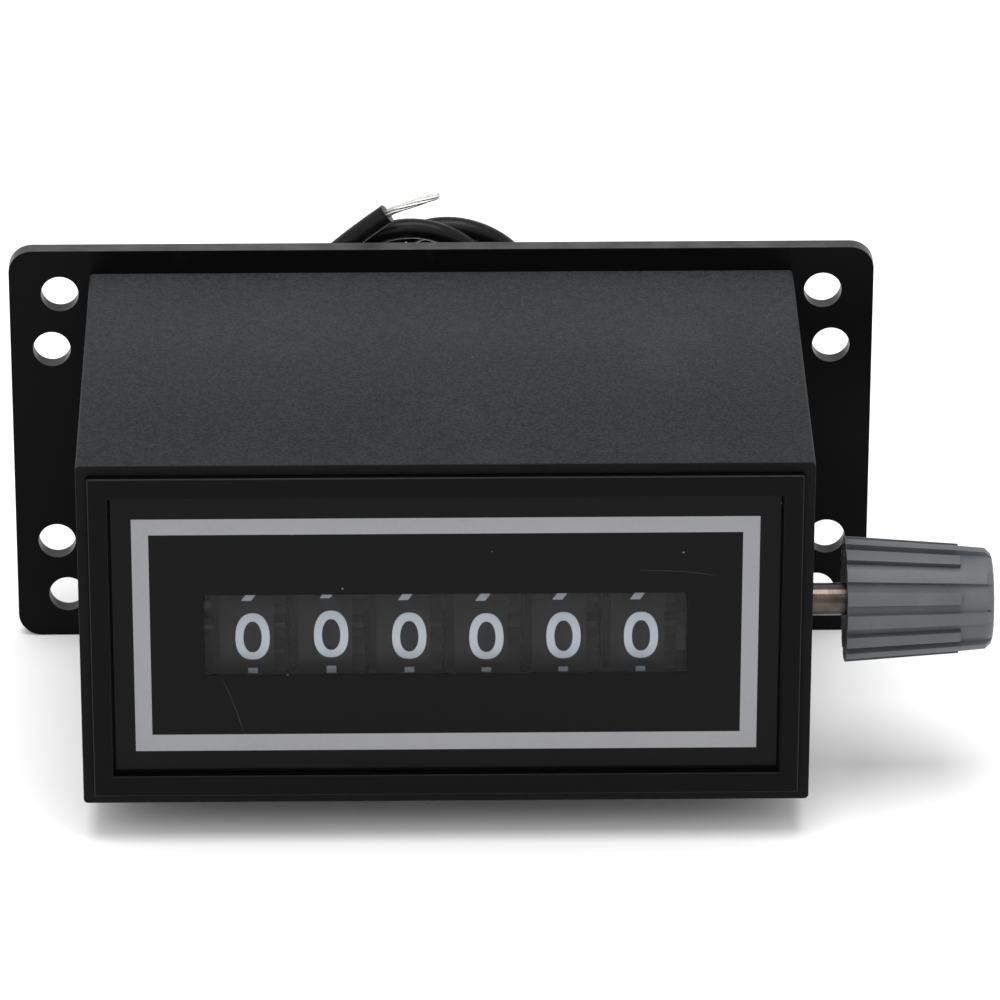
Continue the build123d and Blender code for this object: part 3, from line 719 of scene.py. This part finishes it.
@dataclass
class Lead:
    """One hook-up wire: out of the grommet, twice round the hank, and on to its bared end."""

    letter: str
    start: list[Point]
    end: list[Point]
    loop_x: float
    first_y: float
    tie_x: float
    tops: Flat
    extra: int
    last_y: float
    tip_way: Point
    diameter: float = 2.4
    loop_radius: float = 11.0
    low_centre: float = -13.9
    pitch: float = 5.2
    tie_z: float = 1.0
    twist: float = 0.45
    piece: bpy.types.Object | None = None
    tip: bpy.types.Object | None = None

    def turn_points(self) -> list[Point]:
        """The hank's turns, twelve points each, from just past the bottom.

        Returns:
            Control points in millimetres.
        """
        slant = math.sqrt(0.5)
        around = (
            (0, -1, 0), (-slant, -slant, 0), (-1, 0, 0), (-1, 0, 0.5), (-1, 0, 1), (-slant, slant, 1),
            (0, 1, 1), (slant, slant, 1), (1, 0, 1), (1, 0, 0.5), (1, 0, 0), (slant, -slant, 0),
        )
        points = []
        for step in range(1, 24 + self.extra):
            turn, index = divmod(step, 12)
            across, up, high = around[index]
            top = self.tops[min(turn, 1)] - self.loop_radius * 0.927
            middle = self.low_centre + high * (top - self.low_centre)
            x = self.loop_x + across * self.loop_radius
            z = middle + up * self.loop_radius
            if index == 9:
                x, z = self.tie_x, self.tie_z
            points.append((x, max(self.first_y - self.pitch * step / 12, self.last_y), z))
        return points

    def build(self) -> None:
        """Makes the lead as one spline, and its bared end."""
        points = self.start + self.turn_points() + self.end
        data = bpy.data.curves.new(f"lead_{self.letter}", "CURVE")
        data.dimensions = "3D"
        spline = data.splines.new("NURBS")
        spline.points.add(len(points) - 1)
        for control, point in zip(spline.points, points):
            control.co = (*(Vector(point) * MM), 1.0)
        spline.order_u = 3
        spline.use_endpoint_u = True
        data.resolution_u = 10
        data.bevel_depth = self.diameter / 2 * MM
        data.bevel_resolution = 5
        data.use_fill_caps = True
        self.piece = bpy.data.objects.new(f"lead_{self.letter}", data)
        bpy.context.scene.collection.objects.link(self.piece)
        self.tip = self.bared_end()

    def line(self) -> list[Vector]:
        """The lead's middle line, read from its spline, in millimetres."""
        bare = self.piece.data.copy()
        bare.bevel_depth = 0.0
        bare.use_fill_caps = False
        ghost = bpy.data.objects.new("line", bare)
        mesh = bpy.data.meshes.new_from_object(ghost)
        points = [vertex.co / MM for vertex in mesh.vertices]
        bpy.data.objects.remove(ghost)
        return points

    def bared_end(self) -> bpy.types.Object:
        """The tinned strands that come out of the sleeve.

        Returns:
            A mesh of seven twisted strands.
        """
        before, last = (Vector(point) for point in self.end[-2:])
        sleeve = (last - before).normalized()
        way = Vector(self.tip_way).normalized()
        rows = 26
        length, strand, orbit = 6.6, 0.18, 0.31
        path = []
        for row in range(rows):
            along = -1.6 + (length + 1.6) * row / (rows - 1)
            bend = min(max(along / 1.4, 0.0), 1.0)
            bend = bend * bend * (3 - 2 * bend)
            if not path:
                path.append(last + sleeve * along)
            else:
                path.append(path[-1] + sleeve.lerp(way, bend).normalized() * (length + 1.6) / (rows - 1))
        side = sleeve.cross(Vector((0, 1, 0))).normalized()
        points: list[Point] = []
        faces: list[tuple[int, ...]] = []
        around = 8
        for wire in range(7):
            base = len(points)
            for row, middle in enumerate(path):
                tangent = (path[min(row + 1, rows - 1)] - path[max(row - 1, 0)]).normalized()
                across = (side - tangent * side.dot(tangent)).normalized()
                over = tangent.cross(across)
                turn = 2 * math.pi * (wire / 6 + row / rows * self.twist)
                taper = 1.0 if row < rows - 2 else (0.88, 0.5)[row - rows + 2]
                hold = 0.0 if wire == 6 else orbit * taper
                centre = middle + (across * math.cos(turn) + over * math.sin(turn)) * hold
                for k in range(around):
                    spin = 2 * math.pi * k / around
                    rim = (across * math.cos(spin) + over * math.sin(spin)) * strand * taper
                    points.append(tuple(centre + rim))
            for row in range(rows - 1):
                for k in range(around):
                    low = base + row * around
                    on = low + (k + 1) % around
                    faces.append((low + k, on, on + around, low + around + k))
            faces.append(tuple(base + k for k in reversed(range(around))))
            faces.append(tuple(base + (rows - 1) * around + k for k in range(around)))
        return Workshop.mesh(f"lead_{self.letter}_strands", points, faces, smooth=True)

    def dress(self, stands_for: tuple[str, ...], tip_node: str) -> None:
        """Paints the lead and its end, and hides the CAD nodes they stand in for.

        Args:
            stands_for: the CAD nodes that the lead replaces.
            tip_node: the CAD node that the strands replace.
        """
        Workshop.hand_over(self.piece, SLEEVE, "lead", "housing")
        Workshop.hand_over(self.tip, TINNED, "tinned", "housing")
        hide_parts(*stands_for)
        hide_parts(tip_node)


@dataclass
class Leads:
    """The two leads, folded together into a hank with a tie."""

    first: Lead = field(default_factory=lambda: Lead(
        "a",
        [(21.05, -5, -13.3), (21.05, 5.5, -13.3), (18, 12, -17.5), (9.5, 12.4, -23.0), (-2, 11.2, -24.1)],
        [(-4, 1.6, -24.1), (-13, 1.6, -21.5), (-19, 1.6, -13), (-21, 1.6, -2), (-20.6, 1.6, 9.5),
         (-17.4, 1.6, 20.2), (-6.3, 1.6, 28.4)],
        -3.35, 11.9, 9.4, (21.8, 25.3), 0, 1.6, (0.94, 0.0, 0.34),
    ))
    second: Lead = field(default_factory=lambda: Lead(
        "b",
        [(23.95, -5, -13.3), (23.95, 8, -13.3), (20, 15.2, -17.5), (11, 16, -23.2), (0, 13.8, -24.1)],
        [(-9.6, 4.2, 4), (-9.4, 3.2, 11.5), (-7.2, 2.6, 18.5)],
        0.95, 14.5, 8.6, (19.8, 24.3), 3, 4.1, (0.5, -0.05, 0.86),
    ))
    tie_z: float = 1.0
    tie_height: float = 2.5
    tie_thickness: float = 0.8
    lengths: Flat = (0.345, 0.323)

    def strap(self) -> bpy.types.Object:
        """The tie: a thin strap drawn round the hank's right leg, with its ratchet head.

        Returns:
            The tie's mesh.
        """
        run = self.first.line() + self.second.line()
        held = [point for point in run if abs(point.z - self.tie_z) < 1.4 and point.x > 0]
        grip = self.first.diameter / 2 - 0.05
        low_x, high_x = min(p.x for p in held) - grip, max(p.x for p in held) + grip
        low_y, high_y = min(p.y for p in held) - grip, max(p.y for p in held) + grip
        corner = 1.0
        loop = []
        corners = ((high_x, high_y, 0), (low_x, high_y, 90), (low_x, low_y, 180), (high_x, low_y, 270))
        for cx, cy, turn in corners:
            inset_x = -math.copysign(corner, cx - (low_x + high_x) / 2)
            inset_y = -math.copysign(corner, cy - (low_y + high_y) / 2)
            for k in range(6):
                angle = math.radians(turn + 90 * k / 5)
                loop.append((cx + inset_x, cy + inset_y, math.cos(angle), math.sin(angle)))
        points, faces = [], []
        half = self.tie_height / 2
        crown = half - 0.25
        section = ((0, -half), (0.7, 0.05 - half), (1, -crown), (1, crown), (0.7, half - 0.05), (0, half))
        for x, y, across, along in loop:
            for out, z in section:
                reach = corner + self.tie_thickness * out
                points.append((x + across * reach, y + along * reach, self.tie_z + z))
        ring, count = 6, len(loop)
        for i in range(count):
            for k in range(ring):
                a, b = i * ring, (i + 1) % count * ring
                faces.append((a + k, b + k, b + (k + 1) % ring, a + (k + 1) % ring))
        strap = Workshop.mesh("hank_strap", points, faces)
        self.add_head(strap, high_x + self.tie_thickness, (low_y + high_y) / 2)
        return strap

    def add_head(self, strap: bpy.types.Object, face_x: float, middle_y: float) -> None:
        """Adds the ratchet head and the strap's trimmed tail.

        Args:
            strap: the mesh to add to.
            face_x: the strap's outer face.
            middle_y: where the head sits.
        """
        work = bmesh.new()
        work.from_mesh(strap.data)
        parts = (
            ((2.0, 4.2, 3.6), (face_x + 0.6, middle_y, self.tie_z)),
            ((1.6, 1.0, 2.3), (face_x + 2.2, middle_y, self.tie_z)),
        )
        for size, place in parts:
            spot = Matrix.Translation(Vector(place) * MM) @ Matrix.Diagonal((*(Vector(size) * MM), 1.0))
            made = bmesh.ops.create_cube(work, size=1.0, matrix=spot)
            edges = {edge for vert in made["verts"] for edge in vert.link_edges}
            bmesh.ops.bevel(
                work, geom=list(edges), offset=0.35 * MM, segments=3, profile=0.5, affect="EDGES",
            )
        work.to_mesh(strap.data)
        work.free()

    def build(self) -> None:
        self.first.build()
        self.second.build()
        self.first.dress(("lead_a_exit", "lead_a_end", "lead_hank"), "lead_a_tip")
        self.second.dress(("lead_b_exit", "lead_b_end"), "lead_b_tip")
        strap = Workshop.hand_over(self.strap(), TIE, "tie", "housing")
        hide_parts("hank_tie")


# ---------------------------------------------------------------- figures


@dataclass
class Figures:
    """The printed figures of one number wheel, as thin raised ink on its rim."""

    width: float = 3.88
    height: float = 5.65
    stroke: float = 0.9
    bar: float = 0.95
    one_width: float = 1.08
    film: float = 0.03
    leg_lean: float = 38.0

    def ring(self, centre_v: float, across: float, up: float) -> Strip:
        """A closed bowl.

        Args:
            centre_v: its middle's height.
            across: its outer half-width.
            up: its outer half-height.

        Returns:
            The outer and inner edges, closed.
        """
        steps = 48
        edges: list[list[Flat]] = []
        for a, b, power in ((across, up, 2.25), (across - self.stroke, up - self.bar, 2.1)):
            edge = []
            for k in range(steps):
                c, s = math.cos(2 * math.pi * k / steps), math.sin(2 * math.pi * k / steps)
                u = a * math.copysign(abs(c) ** (2 / power), c)
                v = b * math.copysign(abs(s) ** (2 / power), s)
                edge.append((u, centre_v + v))
            edges.append(edge)
        return edges[0], edges[1], True

    def stroke_along(self, line: list[Flat], width: float | None = None) -> Strip:
        """An open stroke of even width.

        Args:
            line: its middle line.
            width: its width, or the figures' stroke.

        Returns:
            The two edges, open.
        """
        half = (width or self.stroke) / 2
        left, right = [], []
        for i, (u, v) in enumerate(line):
            before, after = line[max(i - 1, 0)], line[min(i + 1, len(line) - 1)]
            du, dv = after[0] - before[0], after[1] - before[1]
            size = math.hypot(du, dv)
            left.append((u - dv / size * half, v + du / size * half))
            right.append((u + dv / size * half, v - du / size * half))
        return left, right, False

    def bowl(self, centre: Flat, across: float, up: float, start: float, end: float) -> list[Flat]:
        """An open arc.

        Args:
            centre: the ellipse's centre.
            across: its half-width.
            up: its half-height.
            start: the first angle, in degrees.
            end: the last angle, in degrees.

        Returns:
            The arc's points.
        """
        steps = 20
        angles = [math.radians(start + (end - start) * k / steps) for k in range(steps + 1)]
        return [(centre[0] + across * math.cos(a), centre[1] + up * math.sin(a)) for a in angles]

    def straight(self, start: Flat, end: Flat) -> list[Flat]:
        """Points along a straight run, close enough to follow the rim."""
        steps = 8
        return [(start[0] + (end[0] - start[0]) * k / steps, start[1] + (end[1] - start[1]) * k / steps)
                for k in range(steps + 1)]

    def leg(self, turned: bool) -> Strip:
        """The slanted leg of a nine, or of a six when turned upside down.

        Args:
            turned: whether it is turned for a six.

        Returns:
            The two edges, open.
        """
        sign = -1 if turned else 1
        half = self.stroke / 2 / math.cos(math.radians(self.leg_lean))
        slope = math.tan(math.radians(self.leg_lean))
        foot, top = -self.height / 2 + 0.15, -0.2
        line = self.straight((-0.69, foot), (-0.69 + slope * (top - foot), top))
        left = [(sign * (u - half), sign * v) for u, v in line]
        right = [(sign * (u + half), sign * v) for u, v in line]
        return left, right, False

    def flat(self, height: float, left: float, right: float) -> Strip:
        """A level bar between two places."""
        return self.stroke_along(self.straight((left, height), (right, height)), self.bar)

    def post(self, across: float, low: float, high: float, width: float | None = None) -> Strip:
        """An upright bar between two heights."""
        return self.stroke_along(self.straight((across, low), (across, high)), width)

    def shapes(self, figure: int) -> list[Strip]:
        """The strips that make a figure.

        Args:
            figure: 0 to 9.

        Returns:
            Pairs of edges, each closed or open.
        """
        top, out = self.height / 2, self.width / 2
        mid_x, mid_v = out - self.stroke / 2, top - self.bar / 2
        if figure == 0:
            return [self.ring(0.0, out, top)]
        if figure == 1:
            return [self.post(0.0, -top, top, self.one_width)]
        if figure == 2:
            neck = self.bowl((0.0, 1.1), mid_x, mid_v - 1.1, 170, -30)
            return [
                self.stroke_along(neck + self.straight((1.1, 0.3), (-1.3, -1.95))[1:]),
                self.flat(-mid_v, -out, out),
            ]
        if figure == 3:
            return [
                self.stroke_along(self.bowl((-0.05, 1.2), mid_x - 0.1, mid_v - 1.2, 160, -90)),
                self.stroke_along(self.bowl((0.0, -1.05), mid_x, mid_v - 1.05, 90, -160)),
            ]
        if figure == 4:
            return [
                self.post(0.9, -top, top),
                self.flat(-1.2, -out, out),
                self.stroke_along(self.straight((-1.45, -1.1), (0.7, top - 0.2))),
            ]
        if figure == 5:
            return [
                self.flat(mid_v, -1.5, 1.7),
                self.post(-1.2, -0.1, mid_v),
                self.stroke_along(self.bowl((-0.05, -0.85), mid_x, mid_v - 0.85, 140, -155)),
            ]
        if figure == 6:
            return [self.ring(-0.95, out, top - 0.95), self.leg(True)]
        if figure == 7:
            return [
                self.flat(mid_v, -out, out),
                self.stroke_along(self.straight((1.25, mid_v), (-0.7, -top))),
            ]
        if figure == 8:
            return [self.ring(1.3, out - 0.2, top - 1.3), self.ring(-1.15, out, top - 1.15)]
        return [self.ring(0.95, out, top - 0.95), self.leg(False)]


@dataclass
class NumberWheel:
    """One number wheel's printed figures."""

    index: int
    body: str
    play: float
    shift: float
    axis_y: float = -39.3
    axis_z: float = -1.65
    radius: float = 11.0
    zero_angle: float = 5.9
    pitch: float = 8.824
    figures: Figures = field(default_factory=Figures)

    def wrap(self, flat: Flat, angle: float, radius: float) -> Point:
        """Lays a point of a figure on the rim.

        Args:
            flat: the point, across and up, from the figure's middle.
            angle: the figure's angle above the forward horizontal, in radians.
            radius: the distance from the axis.

        Returns:
            The point in millimetres.
        """
        around = angle + flat[1] / self.radius
        x = (self.index - 3.5) * self.pitch + self.shift + flat[0]
        return x, self.axis_y - radius * math.cos(around), self.axis_z + radius * math.sin(around)

    def build(self) -> bpy.types.Object:
        """Makes the wheel's ten figures as one piece of ink film.

        Returns:
            The figures' mesh.
        """
        points: list[Point] = []
        faces: list[tuple[int, ...]] = []
        for figure in range(10):
            angle = math.radians(self.zero_angle + self.play - 36.0 * figure)
            for level, (left, right, closed) in enumerate(self.figures.shapes(figure)):
                outer = self.radius + self.figures.film + 0.006 * level
                inner = self.radius - 0.04
                base = len(points)
                for first, second in zip(left, right):
                    points += [self.wrap(first, angle, outer), self.wrap(second, angle, outer)]
                    points += [self.wrap(second, angle, inner), self.wrap(first, angle, inner)]
                count = len(left)
                for i in range(count if closed else count - 1):
                    a, b = base + 4 * i, base + 4 * ((i + 1) % count)
                    for k in range(4):
                        faces.append((a + k, a + (k + 1) % 4, b + (k + 1) % 4, b + k))
                if not closed:
                    last = base + 4 * (count - 1)
                    faces.append((base, base + 1, base + 2, base + 3))
                    faces.append((last + 3, last + 2, last + 1, last))
        return Workshop.mesh(f"figures_{self.index}", points, faces)

    def dress(self) -> None:
        """Builds the figures and rides them on their wheel."""
        Workshop.hand_over(self.build(), FIGURE, "wheel", self.body)


# ---------------------------------------------------------------- face


@dataclass
class Face:
    """The front: bezel, gloss panel with its printed border, and window."""

    centre_z: float = 1.07
    face_y: float = -52.4
    bezel_rounding: float = 0.12
    panel_rounding: float = 0.06
    outer: tuple[float, float, float] = (35.2, 14.68, -14.78)
    inner: tuple[float, float, float] = (33.3, 12.7, -12.7)
    film: float = 0.03

    def border(self) -> bpy.types.Object:
        """The silver border, a closed frame of ink film on the panel.

        Returns:
            The border's mesh.
        """
        corners = []
        for half, high, low in (self.outer, self.inner):
            corners.append([(-half, low), (half, low), (half, high), (-half, high)])
        points: list[Point] = []
        for k in range(4):
            for y in (self.face_y - self.film, self.face_y + 0.02):
                for x, z in (corners[0][k], corners[1][k]):
                    points.append((x, y, z + self.centre_z))
        faces = []
        for k in range(4):
            a, b = 4 * k, 4 * ((k + 1) % 4)
            for first, second in ((0, 1), (1, 3), (3, 2), (2, 0)):
                faces.append((a + first, a + second, b + second, b + first))
        return Workshop.mesh("panel_border", points, faces)

    def dress(self) -> None:
        """Dresses the front's nodes and adds the border."""
        Dressing(("front_bezel",), BEZEL, self.bezel_rounding).dress()
        Dressing(("face_panel",), PANEL, self.panel_rounding).dress()
        Dressing(("window_lens",), WINDOW).dress()
        Workshop.hand_over(self.border(), BORDER, "panel", "housing")


# ---------------------------------------------------------------- mechanism


@dataclass
class ReturnSpring:
    """The compression spring behind the armature's tail."""

    x: float = 12.0
    z: float = -7.5
    front: float = -24.5
    rear: float = -3.5
    radius: float = 1.2
    wire: float = 0.4
    turns: float = 12.0

    def build(self) -> bpy.types.Object:
        """Makes the spring as a coiled wire with closed end turns.

        Returns:
            The spring's mesh.
        """
        steps, around = 240, 8
        points: list[Point] = []
        faces: list[tuple[int, ...]] = []
        low, high = self.front + self.wire / 2, self.rear - self.wire / 2
        for step in range(steps + 1):
            share = step / steps
            turn = 2 * math.pi * self.turns * share
            eased = min(max((share - 0.06) / 0.88, 0.0), 1.0)
            y = low + (high - low) * eased
            for k in range(around):
                spin = 2 * math.pi * k / around
                reach = self.radius + self.wire / 2 * math.cos(spin)
                along = y + self.wire / 2 * math.sin(spin)
                points.append((self.x + reach * math.cos(turn), along, self.z + reach * math.sin(turn)))
        for step in range(steps):
            for k in range(around):
                a, b = step * around, (step + 1) * around
                faces.append((a + k, a + (k + 1) % around, b + (k + 1) % around, b + k))
        faces.append(tuple(range(around)))
        faces.append(tuple(steps * around + k for k in reversed(range(around))))
        return Workshop.mesh("spring_coil", points, faces, smooth=True)

    def dress(self) -> None:
        """Builds the spring in place of its plain sleeve."""
        spring = Workshop.hand_over(self.build(), STEEL, "steel", "housing")
        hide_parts("return_spring")


@dataclass
class Mechanism:
    """The number wheels, gearing, coil and frame inside the case."""

    plays: tuple[float, ...] = (0.7, 2.0, 0.6, -0.1, 0.3, 0.2)
    shifts: tuple[float, ...] = (0.23, 0.28, 0.28, 0.17, 0.06, 0.0)
    wheel_rounding: float = 0.1
    gear_rounding: float = 0.08
    sheet_rounding: float = 0.1
    pin_rounding: float = 0.06
    bodies: tuple[str, ...] = (
        "hundred_thousands_wheel", "ten_thousands_wheel", "thousands_wheel", "hundreds_wheel", "tens_wheel",
        "units_wheel",
    )

    def dress(self) -> None:
        """Dresses every inner node, and prints the figures."""
        wheels = tuple(f"number_wheel_{n}" for n in range(1, 7))
        pinions = tuple(f"transfer_pinion_{n}" for n in range(1, 6))
        pawls = tuple(f"reset_pawl_{n}" for n in range(1, 7))
        Dressing(wheels, WHEEL, self.wheel_rounding).dress()
        Dressing(pinions, PINION, self.gear_rounding).dress()
        Dressing(("ratchet_wheel",), PINION, self.gear_rounding).dress()
        Dressing(("coil_bobbin",), NYLON, self.gear_rounding).dress()
        Dressing(("left_side_plate", "right_side_plate"), SHEET, self.sheet_rounding).dress()
        Dressing(("solenoid_yoke", "armature"), STEEL, self.sheet_rounding).dress()
        small = ("tie_bars", "pinion_shaft", "verge_pin", "solenoid_core", "verge", "shaft_clips", *pawls)
        Dressing(small, STEEL, self.pin_rounding).dress()
        Dressing(("coil_winding",), COIL).dress()
        ReturnSpring().dress()
        for index, (body, play, shift) in enumerate(zip(self.bodies, self.plays, self.shifts), start=1):
            NumberWheel(index, body, play, shift).dress()


# ---------------------------------------------------------------- outside


@dataclass
class Housing:
    """The mounting plate, case, screws and grommet."""

    plate_rounding: float = 0.22
    case_rounding: float = 0.14
    screw_rounding: float = 0.08
    grommet_rounding: float = 0.3
    bush_rounding: float = 0.12

    def dress(self) -> None:
        """Dresses the outer nodes."""
        Dressing(("mounting_plate",), PLATE, self.plate_rounding).dress()
        Dressing(("case_shell",), CASE, self.case_rounding).dress()
        Dressing(("case_screws", "frame_screws"), SCREW, self.screw_rounding).dress()
        Dressing(("lead_grommet",), RUBBER, self.grommet_rounding).dress()
        Dressing(("shaft_bush",), BRASS, self.bush_rounding).dress()


@dataclass
class Reset:
    """The reset shaft and its ribbed knob."""

    shaft_rounding: float = 0.12
    knob_rounding: float = 0.09

    def dress(self) -> None:
        """Dresses the shaft, knob and insert."""
        Dressing(("reset_shaft",), NICKEL, self.shaft_rounding).dress()
        Dressing(("reset_knob",), KNOB, self.knob_rounding).dress()
        Dressing(("knob_insert",), BRASS, self.shaft_rounding).dress()


# ---------------------------------------------------------------- studio


@dataclass
class Studio:
    """The floor, the soft light and the camera."""

    floor_z: float = -25.4
    floor_size: float = 16.0
    sky: float = 0.9
    camera_place: Point = (-6.715, -792.84, 393.01)
    turn: float = 0.988
    drop: float = 26.861
    roll: float = 0.105
    lens: float = 267.7

    def lay_floor(self) -> None:
        """Lays the pale floor that the counter stands on."""
        half = self.floor_size / 2 / MM
        z = self.floor_z - 0.02
        corners = [(-half, -half, z), (half, -half, z), (half, half, z), (-half, half, z)]
        floor = Workshop.mesh("studio_floor", corners, [(0, 1, 2, 3)])
        Workshop.paint(floor, FLOOR)

    def light(self) -> None:
        """Hangs a large soft light above and fills the room evenly."""
        world = bpy.data.worlds.new("studio")
        world.use_nodes = True
        world.node_tree.nodes["Background"].inputs["Color"].default_value = (1.0, 1.0, 1.0, 1.0)
        world.node_tree.nodes["Background"].inputs["Strength"].default_value = self.sky
        bpy.context.scene.world = world
        for name, place, size, power in (
            ("overhead", (0.0, -0.3, 1.6), 1.0, 18.0),
            ("front_fill", (-0.5, -1.6, 1.6), 1.0, 7.0),
        ):
            data = bpy.data.lights.new(name, "AREA")
            data.shape = "SQUARE"
            data.size = size
            data.energy = power
            lamp = bpy.data.objects.new(name, data)
            lamp.matrix_world = self.aimed(Vector(place), Vector((0.0, -0.02, 0.0)))
            bpy.context.scene.collection.objects.link(lamp)

    @staticmethod
    def aimed(place: Vector, target: Vector) -> Matrix:
        """A lamp's matrix.

        Args:
            place: where it hangs.
            target: what it shines at.

        Returns:
            Its world matrix.
        """
        return Matrix.Translation(place) @ (target - place).to_track_quat("-Z", "Y").to_matrix().to_4x4()

    def stand_camera(self) -> None:
        """Stands the camera in front of and above the counter."""
        turn, drop, roll = (math.radians(value) for value in (self.turn, self.drop, self.roll))
        ahead = Vector((math.sin(turn) * math.cos(drop), math.cos(turn) * math.cos(drop), -math.sin(drop)))
        level = Vector((math.cos(turn), -math.sin(turn), 0.0))
        upright = level.cross(ahead)
        right = level * math.cos(roll) + upright * math.sin(roll)
        up = upright * math.cos(roll) - level * math.sin(roll)
        data = bpy.data.cameras.new("camera")
        data.lens = self.lens
        data.sensor_width = 36.0
        data.clip_start = 0.01
        data.dof.use_dof = False
        camera = bpy.data.objects.new("camera", data)
        facing = Matrix((right, up, -ahead)).transposed().to_4x4()
        camera.matrix_world = Matrix.Translation(Vector(self.camera_place) * MM) @ facing
        bpy.context.scene.collection.objects.link(camera)
        bpy.context.scene.camera = camera

    def build(self) -> None:
        """Sets up the whole studio."""
        self.stand_camera()
        self.lay_floor()
        self.light()
        bpy.context.scene.view_settings.view_transform = "Standard"


def main() -> None:
    """Builds the scene, the leads first."""
    logging.basicConfig(level=logging.INFO, format="%(name)s: %(message)s")
    Studio().build()
    Leads().build()
    Housing().dress()
    Face().dress()
    Mechanism().dress()
    Reset().dress()


if __name__ == "__main__":
    main()
